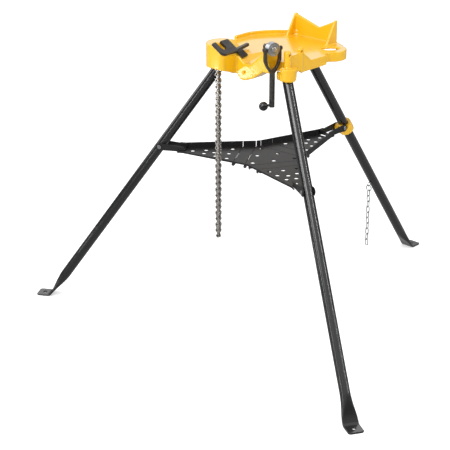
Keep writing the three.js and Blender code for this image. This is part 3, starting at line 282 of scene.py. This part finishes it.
def rod(radius, ends, axis="Z", sides=32, middle=(0, 0)):
    """A cylinder between two places along an axis, with its middle at the other two coordinates."""
    place = {"X": (sum(ends) / 2, *middle), "Y": (middle[0], sum(ends) / 2, middle[1]),
             "Z": (*middle, sum(ends) / 2)}[axis]
    turn = {"X": (0, math.pi / 2, 0), "Y": (math.pi / 2, 0, 0), "Z": (0, 0, 0)}[axis]
    bpy.ops.object.select_all(action="DESELECT")
    bpy.ops.mesh.primitive_cylinder_add(vertices=sides, radius=radius, depth=abs(ends[1] - ends[0]),
                                        location=place, rotation=turn)
    return settle(bpy.context.object)


def from_frame(node, name):
    """A merged copy of a frame node, with its flat faces whole again, to be finished as its own piece."""
    piece = bpy.data.objects.new(name, nodes[node].data.copy())
    scene.collection.objects.link(piece)
    everything(piece)
    bpy.ops.mesh.remove_doubles(threshold=0.02 * MM)
    bpy.ops.mesh.dissolve_limited(angle_limit=math.radians(0.6))
    return done(piece)


def twin(piece, name):
    """A copy with a mesh of its own."""
    other = bpy.data.objects.new(name, piece.data.copy())
    scene.collection.objects.link(other)
    other.matrix_world = piece.matrix_world
    return other


def joined(name, pieces):
    focus(pieces[0])
    for piece in pieces:
        piece.select_set(True)
    bpy.ops.object.join()
    whole = bpy.context.object
    whole.name = name
    return settle(whole)


def paint(piece, material):
    piece.data.materials.clear()
    piece.data.materials.append(material)
    return piece


def finish_piece(piece, material, slot, body, *replaced):
    """Gives a piece its material, or leaves the ones that it has, and ties it to its place in the frame."""
    if material:
        paint(piece, material)
    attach(piece, body)
    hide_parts(*replaced)
    return piece


# %% [markdown]
# ## Materials
#
# Each finish starts from what it is on the real stand. Colours are written as the eye sees them and turned
# to linear values. Grain sizes are worked out in millimetres: a noise scale of 1000 / size gives spots of
# that size.

# %% A material with a pattern in its colour, roughness and surface


def finish_of(name, dark, light, spot_mm, rough, relief_mm, grain_mm, metallic=0.0, coat=0.0, coat_rough=0.1):
    material = bpy.data.materials.new(name)
    material.use_nodes = True
    tree = material.node_tree
    tree.nodes.clear()
    where = add_node(tree, "ShaderNodeTexCoord").outputs["Object"]
    spots = add_node(tree, "ShaderNodeTexNoise", [(where, "Vector")], in_Scale=1000 / spot_mm, in_Detail=4.0)
    colour = add_node(tree, "ShaderNodeMix", [(spots.outputs["Fac"], 0)], data_type="RGBA")
    colour.inputs[6].default_value = linear(dark)
    colour.inputs[7].default_value = linear(light)
    grain = add_node(tree, "ShaderNodeTexNoise", [(where, "Vector")], in_Scale=1000 / grain_mm, in_Detail=3.0)
    gloss = add_node(tree, "ShaderNodeMapRange", [(grain.outputs["Fac"], "Value")], in_To_Min=rough[0],
                     in_To_Max=rough[1])
    relief = add_node(tree, "ShaderNodeBump", [(grain.outputs["Fac"], "Height")], in_Strength=0.6,
                      in_Distance=relief_mm * MM)
    shader = add_node(tree, "ShaderNodeBsdfPrincipled",
                      [(colour.outputs[2], "Base Color"), (gloss.outputs["Result"], "Roughness"),
                       (relief.outputs["Normal"], "Normal")],
                      in_Metallic=metallic, in_Coat_Weight=coat, in_Coat_Roughness=coat_rough)
    add_node(tree, "ShaderNodeOutputMaterial", [(shader.outputs[0], "Surface")])
    return material


# %% The finishes of this stand
# Glossy enamel sprayed on sand-cast iron: the sand's grain shows as soft orange peel about 3 mm across.
enamel = finish_of("yellow_enamel", "#FCBC00", "#FFC900", 60, (0.3, 0.42), 0.25, 3.2, coat=1.0,
                   coat_rough=0.12)
# Black stoving enamel on drawn tube: smooth and glossy along the tube, with faint dust.
black_paint = finish_of("black_tube_paint", "#101011", "#19191A", 35, (0.2, 0.3), 0.04, 6, coat=0.6)
# The tray's paint is thinner over pressed sheet, so it is duller.
sheet_paint = finish_of("black_sheet_paint", "#131314", "#1F1F21", 25, (0.42, 0.58), 0.06, 4)
# Black oxide on forged steel keeps a little of the metal's colour and the hammer scale's roughness.
black_oxide = finish_of("black_oxide_forging", "#3A3836", "#5C5A57", 9, (0.26, 0.4), 0.12, 1.6, metallic=0.6)
# Bright zinc plate on machined steel.
zinc = finish_of("zinc_plate", "#A2A6A9", "#C4C7C9", 7, (0.24, 0.38), 0.02, 0.9, metallic=1.0)
# Bare rolled steel with oil in its grain, on the chain's plates and also on the screw and its washer.
chain_steel = finish_of("oiled_chain_steel", "#8F8B86", "#E2DED8", 4, (0.2, 0.34), 0.03, 1.2, metallic=0.8)
# The chain's pins and rollers keep more of the oil and stay dark.
chain_pins = finish_of("oiled_chain_pins", "#242220", "#45423F", 3, (0.25, 0.4), 0.03, 1.0, metallic=0.7)
# Zinc plated wire, a little whiter than the machined parts.
wire_zinc = finish_of("zinc_wire", "#B4B8BA", "#D3D6D6", 5, (0.22, 0.36), 0.02, 1.0, metallic=1.0)
# The crank's ball is moulded, with a deep gloss.
knob_black = finish_of("black_ball", "#0F0F10", "#171718", 20, (0.12, 0.2), 0.02, 3, coat=0.4)
print("finishes", len(bpy.data.materials))

# %% [markdown]
# ## The cast head
#
# A sand casting has no sharp edge anywhere: every corner has a fillet from the pattern and the paint. A
# bevel on so many cut faces would break, so the head's shape is rebuilt as an even skin of small cells and
# then relaxed, which rounds all edges alike by about 2 mm, as a foundry's fillets do.

# %% Head
head = from_frame("vise_head", "cast_head")
skin(head, 2.2 * MM, 5)
finish_piece(head, enamel, "casting", "head", "vise_head")
print("head faces", len(head.data.polygons))

# %% Collar on the rear leg
collar = from_frame("rear_collar", "cast_collar")
skin(collar, 1.1 * MM, 3)
finish_piece(collar, enamel, "casting", "rear_leg", "rear_collar")

# %% [markdown]
# ## Legs
#
# Each leg is one steel tube whose end was pressed flat in a tool, drilled and bent to lie on the floor. We
# make the leg standing up, from a cylinder whose lower end is extruded again and again; each new ring is
# reshaped and its two halves are drawn apart, as the press does. Then the leg leans out, the spin operator
# bends the foot, and the foot is drawn out flat, its corners are clipped and it is drilled.

# %% Sizes of the legs
# All three legs point away from one hub. Each has its direction in degrees, the reach of its pivot and its
# lean.
HUB = Vector((0, -0.20286, 0))
SIDES = {"left": 210.4, "right": -30.4, "rear": 90.0}
REACHES = {"left": 150 * MM, "right": 150 * MM, "rear": 171 * MM}
LEANS = {"left": math.radians(35.1), "right": math.radians(35.1), "rear": math.radians(35.5)}
PIVOT_Z = 868 * MM
TUBE = 16 * MM
TUBE_SIDES = 48
ABOVE_PIVOT = 18 * MM
ROUND_END = 96 * MM
# Rings of the pressed end: millimetres left to the end of the tube, then half the width and half the
# thickness.
PRESSED = [(84, 16.3, 15.2), (72, 17.2, 13.6), (59.5, 18.6, 11.5), (46, 20.7, 8.5), (32.6, 23.0, 5.8),
           (21, 24.4, 3.9)]
FOOT_HALF_WIDTH = 25
SOLE = 2.8 * MM
BEND = 14 * MM
CLIP_START, TIP, TIP_SHARE = 40.4 * MM, 46 * MM, 0.776
FOOT_HOLE, HOLE_REACH = 6.5 * MM, 23 * MM


def on_leg_side(piece, side):
    """Turns a piece drawn with x outwards into its leg's direction and puts it in the stand."""
    turn = Matrix.Rotation(math.radians(SIDES[side]), 4, "Z")
    piece.matrix_world = Matrix.Translation(HUB) @ turn @ piece.matrix_world
    return settle(piece)


# %% Pressing one end flat


def press_on(leg, low, old, new, drop):
    """Draws the lowest ring down and reshapes it from the old half width and thickness to the new ones."""
    pick(leg, lambda c, n: n.z < -0.9)
    bpy.ops.mesh.extrude_region_move(TRANSFORM_OT_translate={"value": (0, 0, -drop)})
    done(leg)
    low -= drop
    (wide, thin), (wider, thinner) = old, new
    for side in (1, -1):
        pick(leg, lambda c, n: c.z < low + 0.1 * MM and c.y * side > 0, kind="VERT")
        scale = thinner / thin
        bpy.ops.transform.resize(value=(scale, scale, 1), center_override=(0, side * (wide - thin), low))
        bpy.ops.transform.translate(value=(0, side * ((wider - thinner) - (wide - thin)), 0))
        done(leg)
    return low


def tube_leg(side):
    lean, reach = LEANS[side], REACHES[side]
    length = (PIVOT_Z - SOLE) / math.cos(lean)
    bend_turn = math.pi / 2 - lean
    bend_length = BEND * math.tan(bend_turn / 2)
    low = ROUND_END - length
    leg = rod(TUBE, (ABOVE_PIVOT, low), sides=TUBE_SIDES)
    leg.matrix_world = Matrix.Rotation(math.pi / TUBE_SIDES, 4, "Z")
    settle(leg)
    shape = (TUBE, TUBE)
    for above, wide, thin in PRESSED + [(bend_length / MM, FOOT_HALF_WIDTH, SOLE / MM)]:
        drop = low + length - above * MM
        low = press_on(leg, low, shape, (wide * MM, thin * MM), drop)
        shape = (wide * MM, thin * MM)
    leg.matrix_world = Matrix.Translation((reach, 0, PIVOT_Z)) @ Matrix.Rotation(-lean, 4, "Y")
    settle(leg)
    down = Vector((math.sin(lean), 0, -math.cos(lean)))
    out = Vector((math.cos(lean), 0, math.sin(lean)))
    end = Vector((reach, 0, PIVOT_Z)) - down * low
    pick(leg, lambda c, n: n.dot(down) > 0.99 and (c - end).length < 2 * MM)
    bpy.ops.mesh.spin(steps=6, angle=bend_turn, center=end + out * BEND, axis=(0, 1, 0))
    done(leg)
    heel = reach + length * math.sin(lean)
    at = heel + bend_length
    for past, share in ((CLIP_START, 1), (TIP, TIP_SHARE)):
        pick(leg, lambda c, n: n.x > 0.99 and abs(c.x - at) < 1 * MM)
        bpy.ops.mesh.extrude_region_move(TRANSFORM_OT_translate={"value": (heel + past - at, 0, 0)})
        bpy.ops.transform.resize(value=(1, share, 1), center_override=(heel + past, 0, SOLE))
        done(leg)
        at = heel + past
    cut(leg, rod(FOOT_HOLE, (-10 * MM, 20 * MM), middle=(heel + HOLE_REACH, 0)))
    soften(leg, 0.5 * MM, 2, 40)
    return on_leg_side(leg, side)


# %% The three legs
for side in SIDES:
    leg = tube_leg(side)
    finish_piece(leg, black_paint, "tube", side + "_leg", "leg_" + side)
    leg.name = "tube_leg_" + side
    low_corner = min(v.co.z for v in leg.data.vertices)
    print(side, "leg", len(leg.data.polygons), "faces, lowest point", round(low_corner, 5))

# %% [markdown]
# ## Bolts
#
# The pivot bolts were painted with the casting. The tray's bolts are zinc plated, with a low six-sided head
# at each end. A bevel round the outer face gives the chamfer that a real head has.

# %% Painted pivot bolts
for side in SIDES:
    for kind in ("bolt", "nut"):
        piece = from_frame(f"pivot_{kind}_{side}", f"painted_{kind}_{side}")
        soften(piece, 0.5 * MM)
        finish_piece(piece, enamel, "casting", "head", f"pivot_{kind}_{side}")

# %% Tray bolts
# A bolt is placed by its reach from the hub and its height.
TRAY_BOLT = (358.6 * MM, 571.2 * MM)
BOLT_SHANK, SHANK_HALF = 3.7 * MM, 19.6 * MM
BOLT_HEAD, HEAD_FROM, HEAD_TO, HEAD_CHAMFER = 7 * MM, 19.5 * MM, 22.5 * MM, 0.7 * MM


def tray_bolt(side):
    shank = rod(BOLT_SHANK, (-SHANK_HALF, SHANK_HALF), "Y", 24, TRAY_BOLT)
    heads = []
    for way in (-1, 1):
        head = rod(BOLT_HEAD, (way * HEAD_FROM, way * HEAD_TO), "Y", 6, TRAY_BOLT)
        pick(head, lambda c, n: n.y * way > 0.9)
        bpy.ops.mesh.bevel(offset=HEAD_CHAMFER, segments=2)
        heads.append(done(head))
    return on_leg_side(joined("zinc_tray_bolt_" + side, [shank] + heads), side)


for side in SIDES:
    finish_piece(tray_bolt(side), zinc, "plating", side + "_leg", "tray_bolt_" + side)

# %% [markdown]
# ## Folding tray
#
# The tray is pressed from 2 mm sheet: a centre plate, three strips and three wings, with punched round holes
# and upturned rims. The measured solids have the right folds, so each piece starts as a copy of its solid.
# Its drilled holes were made with few sides there, so a finer round tool cuts them again, and a bevel gives
# the pressed edges their small radius.

# %% Round holes
# The wing's sizes are in millimetres from the hub. Its holes are placed by shares of its length and half
# width.
TRAY_TOP = 560 * MM
WING_START, WING_SHOULDER, WING_TIP_HALF, WING_TAPER = 103.8, 280.6, 25, 0.31
WING_HOLE_SHARES = [(0.165, 0), (0.15, 0.63), (0.15, -0.63), (0.44, 0), (0.38, 0.54), (0.38, -0.54),
                    (0.61, 0.34), (0.61, -0.34), (0.84, 0)]
CENTRE_HOLE_STEP, CENTRE_HOLE_ROWS = 70, 3
PUNCH = 6.8 * MM
SHEET_EDGE = 0.45 * MM


def wing_half(reach):
    return WING_TIP_HALF + (WING_SHOULDER - reach) * WING_TAPER


def punch(piece, spots, side=None):
    tools = [rod(PUNCH, (TRAY_TOP - 8 * MM, TRAY_TOP + 6 * MM), middle=(x * MM, y * MM)) for x, y in spots]
    tool = joined("punch", tools)
    if side:
        on_leg_side(tool, side)
    else:
        tool.matrix_world = Matrix.Translation(HUB)
        settle(tool)
    cut(piece, tool)


wing_spots = []
for along, across in WING_HOLE_SHARES:
    reach = WING_START + (WING_SHOULDER - WING_START) * along
    wing_spots.append((reach, wing_half(reach) * across))
row = CENTRE_HOLE_STEP * math.sin(math.radians(60))
centre_spots = [((i - line / 2) * CENTRE_HOLE_STEP, (line - 4 / 3) * row)
                for line in range(CENTRE_HOLE_ROWS) for i in range(line + 1)]
print("wing holes", [(round(x), round(y)) for x, y in wing_spots])

# %% Centre, strips and wings
centre = from_frame("tray_centre", "sheet_centre")
punch(centre, centre_spots)
soften(centre, SHEET_EDGE)
finish_piece(centre, sheet_paint, "tray_sheet", "tray", "tray_centre")
for side in SIDES:
    strip = from_frame("tray_strip_" + side, "sheet_strip_" + side)
    soften(strip, SHEET_EDGE)
    finish_piece(strip, sheet_paint, "tray_sheet", side + "_strip", "tray_strip_" + side)
    wing = from_frame("tray_wing_" + side, "sheet_wing_" + side)
    punch(wing, wing_spots, side)
    soften(wing, SHEET_EDGE)
    finish_piece(wing, sheet_paint, "tray_sheet", side + "_wing", "tray_wing_" + side)
print("wing faces", len(wing.data.polygons))

# %% [markdown]
# ## Hinge pins
#
# A rod through rolled eyes, with both ends headed over like a rivet. The head is a short cylinder whose
# outer edge is bevelled in several steps, which gives a low dome.

# %% Hinge pins
PIN_Z = 552 * MM
PIN, PIN_HEAD, PIN_HEAD_DOME = 3.2 * MM, 5.5 * MM, 1.6 * MM
PIN_HEAD_HEIGHT, PIN_MARGIN = 3, 6
INNER_REACH, OUTER_REACH = 62, 103


def hinge_pin(reach, name):
    half = wing_half(reach) - PIN_MARGIN
    place = (reach * MM, PIN_Z)
    parts = [rod(PIN, (-half * MM, half * MM), "Y", 24, place)]
    for way in (-1, 1):
        head = rod(PIN_HEAD, (way * half * MM, way * (half + PIN_HEAD_HEIGHT) * MM), "Y", 24, place)
        parts.append(dome(head, way, 1, PIN_HEAD_DOME))
    return shade(joined(name, parts))


for side in SIDES:
    for place, reach, body in (("inner", INNER_REACH, "tray"), ("outer", OUTER_REACH, side + "_wing")):
        pin = on_leg_side(hinge_pin(reach, f"hinge_rod_{place}_{side}"), side)
        finish_piece(pin, black_oxide, "hinge_steel", body, f"hinge_pin_{place}_{side}")

# %% [markdown]
# ## Brackets
#
# A bracket is one pressed part with two round eyes on the bolt. The copy of the solid gets full round discs
# of the same sheet over its eyes, so that their outline is a true circle.

# %% Brackets
EYE, EYE_BORE, EYE_FROM, EYE_TO = 13 * MM, 4 * MM, 16.62 * MM, 19.18 * MM
BRACKET_EDGE = 0.4 * MM
for side in SIDES:
    arms = from_frame("tray_bracket_" + side, "arms")
    soften(arms, BRACKET_EDGE)
    parts = [arms]
    for way in (-1, 1):
        eye = rod(EYE, (way * EYE_FROM, way * EYE_TO), "Y", 48, TRAY_BOLT)
        cut(eye, rod(EYE_BORE, (-30 * MM, 30 * MM), "Y", 24, TRAY_BOLT))
        soften(eye, BRACKET_EDGE)
        parts.append(on_leg_side(eye, side))
    bracket = shade(joined("sheet_bracket_" + side, parts))
    finish_piece(bracket, sheet_paint, "tray_sheet", side + "_bracket", "tray_bracket_" + side)

# %% [markdown]
# ## Hook jaw
#
# The jaw is forged and then machined flat on its faces: sharp in outline, with small bright chamfers. A
# bevel of less than a millimetre catches the light along its edges as they do in the photograph.

# %% Jaw and its screws
jaw = from_frame("hook_jaw", "forged_jaw")
soften(jaw, 0.7 * MM)
finish_piece(jaw, black_oxide, "forging", "head", "hook_jaw")
for number in (1, 2):
    screw = from_frame(f"jaw_screw_{number}", f"flush_screw_{number}")
    soften(screw, 0.4 * MM)
    finish_piece(screw, black_oxide, "forging", "head", f"jaw_screw_{number}")

# %% [markdown]
# ## Screw, nut and crank
#
# These pieces share one axis, which is turned a little towards the front. They are drawn along x with the
# nut's middle at nought and then put in place together. The nut's outer face is inset and sunk in rings as a
# turned nut's is, and the screw's end shows a few turns of its thread as stacked collars with bevelled
# edges.

# %% Placing along the screw's axis
NUT_PLACE = Vector((102, -110.6, 954)) * MM
SCREW_TURN = math.radians(-16)
BORE = 9.3 * MM


def on_screw(piece):
    place = Matrix.Translation(HUB + NUT_PLACE) @ Matrix.Rotation(SCREW_TURN, 4, "Z")
    piece.matrix_world = place @ piece.matrix_world
    return settle(piece)


# %% Nut
# Each ring of its face is inset and then moved along the axis, in millimetres.
NUT, NUT_HALF = 21 * MM, 9 * MM
NUT_RINGS = ((3.5, -1.2), (4.0, 0.9))
nut = rod(NUT, (-NUT_HALF, NUT_HALF), "X", 64)
for inset, sink in NUT_RINGS:
    pick(nut, lambda c, n: n.x > 0.9 and abs(c.y) < 1 * MM and abs(c.z) < 1 * MM)
    bpy.ops.mesh.inset(thickness=inset * MM)
    bpy.ops.mesh.extrude_region_move(TRANSFORM_OT_translate={"value": (sink * MM, 0, 0)})
    done(nut)
cut(nut, rod(BORE, (-20 * MM, 20 * MM), "X", 48))
soften(nut, 0.9 * MM, 3)
finish_piece(on_screw(nut), zinc, "plating", "nut", "tension_nut")
nut.name = "zinc_nut"

# %% Screw with its thread
CORE, CORE_START, CORE_END = 8.0 * MM, -28.7 * MM, 11.8 * MM
THREAD, THREAD_START, THREAD_STEP, THREAD_WIDTH, THREAD_TURNS = 9 * MM, -27.5, 3, 1.9, 13
parts = [dome(rod(CORE, (CORE_START, CORE_END), "X", 48), 1, 0, 1.5 * MM)]
for turn in range(THREAD_TURNS):
    start = THREAD_START + turn * THREAD_STEP
    parts.append(rod(THREAD, (start * MM, (start + THREAD_WIDTH) * MM), "X", 48))
    soften(parts[-1], 0.7 * MM, 1, 60)
thread = shade(joined("zinc_screw", parts))
finish_piece(on_screw(thread), chain_steel, "plating", "screw", "tension_screw")

# %% Washer and catch
WASHER, WASHER_BACK, WASHER_FRONT = 20 * MM, -11.9 * MM, -9.3 * MM
washer = rod(WASHER, (WASHER_BACK, WASHER_FRONT), "X", 64)
cut(washer, rod(BORE, (-20 * MM, 20 * MM), "X", 48))
soften(washer, 0.4 * MM)
finish_piece(on_screw(washer), chain_steel, "plating", "head", "thrust_washer")
washer.name = "zinc_washer"
catch = from_frame("chain_catch", "forged_catch")
soften(catch, 0.6 * MM)
finish_piece(catch, black_oxide, "forging", "screw", "chain_catch")

# %% Crank
# The forging's stem is a little thicker than its solid, as the photograph shows.
STEM, STEM_LOW, STEM_HIGH = 8.6 * MM, -181 * MM, -76 * MM
stem = on_screw(rod(STEM, (STEM_LOW, STEM_HIGH), sides=48))
crank = joined("forged_crank", [from_frame("crank", "fork"), stem])
skin(crank, 0.9 * MM, 8)
finish_piece(crank, black_oxide, "forging", "handle", "crank")
print("crank faces", len(crank.data.polygons))

# %% Side pins
SIDE_PIN, SIDE_PIN_FROM, SIDE_PIN_TO = 3.4 * MM, 10.4 * MM, 29.9 * MM
SIDE_HEAD, SIDE_HEAD_FROM, SIDE_HEAD_TO, SIDE_HEAD_DOME = 6.5 * MM, 29.8 * MM, 32.8 * MM, 1.4 * MM
for name, way in (("front", -1), ("back", 1)):
    shank = rod(SIDE_PIN, (way * SIDE_PIN_FROM, way * SIDE_PIN_TO), "Y", 24)
    head = dome(rod(SIDE_HEAD, (way * SIDE_HEAD_FROM, way * SIDE_HEAD_TO), "Y", 32), way, 1, SIDE_HEAD_DOME)
    pin = on_screw(joined("side_pin_" + name, [shank, head]))
    finish_piece(pin, black_oxide, "plating", "nut", "crank_pin_" + name)

# %% Ball
# A sphere with a flat towards the crank and a bore for the crank's peg.
BALL, BALL_Y, BALL_Z, BALL_FLAT_Y, BALL_BORE = 14 * MM, -30 * MM, -174 * MM, -18.4 * MM, 4.3 * MM
bpy.ops.object.select_all(action="DESELECT")
bpy.ops.mesh.primitive_uv_sphere_add(segments=48, ring_count=24, radius=BALL, location=(0, BALL_Y, BALL_Z))
ball = settle(bpy.context.object)
ball.name = "black_ball"
pick(ball, lambda c, n: c.y > BALL_FLAT_Y, kind="VERT")
bpy.ops.transform.resize(value=(1, 0, 1), center_override=(0, BALL_FLAT_Y, BALL_Z))
done(ball)
cut(ball, rod(BALL_BORE, (-38 * MM, 0), "Y", 32, (0, BALL_Z)))
finish_piece(on_screw(shade(ball)), knob_black, "knob", "knob", "crank_knob")

# %% [markdown]
# ## Vise chain
#
# Chains of this kind are stacks of punched plates on riveted pins. One plate is enough: a flat cylinder
# whose lower half is drawn down by a link's length, then cut across with bisect so that its waist can be
# drawn in. Two plates with their pin and bush make a link, and inner and outer links are then copied by
# turns down each run.

# %% One plate and one link
PITCH = 20 * MM
CHAIN_PLACE = Vector((-91, -142, 905)) * MM
PLATE = 7.5 * MM
# The cuts across a plate: height in millimetres and the share of the width that stays there.
WAIST_SHARES = ((-5.5, 0.94), (-8, 0.78), (-10, 0.72), (-12, 0.78), (-14.5, 0.94))
INNER_PLATES, OUTER_PLATES = (2.2 * MM, 4.8 * MM), (5.2 * MM, 7.8 * MM)
LINK_PIN, LINK_PIN_HALF, LINK_PIN_DOME = 3 * MM, 8.5 * MM, 0.8 * MM
BUSH, BUSH_HALF = 4.4 * MM, 2.1 * MM


def chain_plate(near, far):
    plate = rod(PLATE, (near, far), "Y", 40)
    pick(plate, lambda c, n: c.z < -0.01 * MM, kind="VERT")
    bpy.ops.transform.translate(value=(0, 0, -PITCH))
    done(plate)
    for height, share in WAIST_SHARES:
        everything(plate)
        bpy.ops.mesh.bisect(plane_co=(0, 0, height * MM), plane_no=(0, 0, 1))
        done(plate)
        pick(plate, lambda c, n: abs(c.z - height * MM) < 0.05 * MM, kind="VERT")
        bpy.ops.transform.resize(value=(share, 1, 1), center_override=(0, 0, height * MM))
        done(plate)
    soften(plate, 0.45 * MM, 2, 50)
    return paint(plate, chain_steel)


def chain_link(near, far):
    """A pair of plates with the pin and bush at their lower end."""
    pair = [chain_plate(near, far), chain_plate(-far, -near)]
    pin = rod(LINK_PIN, (-LINK_PIN_HALF, LINK_PIN_HALF), "Y", 24, (0, -PITCH))
    for way in (1, -1):
        dome(pin, way, 1, LINK_PIN_DOME)
    bush = rod(BUSH, (-BUSH_HALF, BUSH_HALF), "Y", 24, (0, -PITCH))
    soften(bush, 0.4 * MM, 1, 60)
    return joined("link", pair + [paint(pin, chain_pins), paint(bush, chain_pins)])


inner_link = chain_link(*INNER_PLATES)
outer_link = chain_link(*OUTER_PLATES)
print("link faces", len(inner_link.data.polygons))

# %% The runs
RUN_LINKS = (6, 6, 6, 6, 5)
top = CHAIN_PLACE.z - PITCH
for number, links in enumerate(RUN_LINKS, start=1):
    pieces = []
    for link in range(links):
        piece = twin(outer_link if link % 2 else inner_link, "link")
        piece.location = HUB + Vector((CHAIN_PLACE.x, CHAIN_PLACE.y, top - link * PITCH))
        pieces.append(piece)
    run = shade(joined(f"plate_chain_{number}", pieces))
    finish_piece(run, None, "chain_steel", f"chain_{number}", f"chain_run_{number}")
    top -= links * PITCH

# %% The hook link with its bar
BAR, BAR_HALF = 4 * MM, 18 * MM
hook = twin(outer_link, "hook")
bar = paint(rod(BAR, (-BAR_HALF, BAR_HALF), "Y", 32), chain_pins)
for piece in (hook, bar):
    piece.location = HUB + CHAIN_PLACE
hook = joined("plate_chain_end", [hook, bar])
finish_piece(hook, None, "chain_steel", "chain_end", "chain_hook")
for link in (inner_link, outer_link):
    bpy.data.objects.remove(link)

# %% [markdown]
# ## Retaining chain
#
# Plain welded chain of zinc plated wire. A link is a torus whose upper and lower halves are drawn apart;
# each one is placed by the box of its solid, turned by a quarter from the one above.

# %% Links, ring and eye
WIRE = 1.6 * MM
WIRE_LINKS, LINKS_PER_BODY = 10, 3


def wire_link(node, name, body):
    low, high = (Vector(corner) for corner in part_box(node))
    size = high - low
    across = max(size.x, size.y)
    bpy.ops.object.select_all(action="DESELECT")
    bpy.ops.mesh.primitive_torus_add(major_radius=across / 2 - WIRE, minor_radius=WIRE, major_segments=40,
                                     minor_segments=12, rotation=(math.pi / 2, 0, 0))
    link = settle(bpy.context.object)
    stretch = (size.z - across) / 2
    if stretch > 0.1 * MM:
        for way in (1, -1):
            pick(link, lambda c, n: c.z * way > 0.01 * MM, kind="VERT")
            bpy.ops.transform.translate(value=(0, 0, way * stretch))
            done(link)
    turn = math.pi / 2 if size.y > size.x else 0
    link.matrix_world = Matrix.Translation((low + high) / 2) @ Matrix.Rotation(turn, 4, "Z")
    settle(link)
    bpy.ops.object.shade_smooth()
    link.name = name
    return finish_piece(link, wire_zinc, "zinc_wire", body, node)


# The ring and the first link swing together, and the others in threes.
wire_link("chain_ring", "wire_ring", "wire_chain_1")
for number in range(1, WIRE_LINKS + 1):
    group = 1 if number == 1 else (number - 2) // LINKS_PER_BODY + 2
    wire_link(f"chain_link_{number}", f"wire_link_{number}", f"wire_chain_{group}")
eye = from_frame("chain_eye", "wire_eye")
skin(eye, 0.4 * MM, 6)
finish_piece(eye, wire_zinc, "zinc_wire", "rear_leg", "chain_eye")
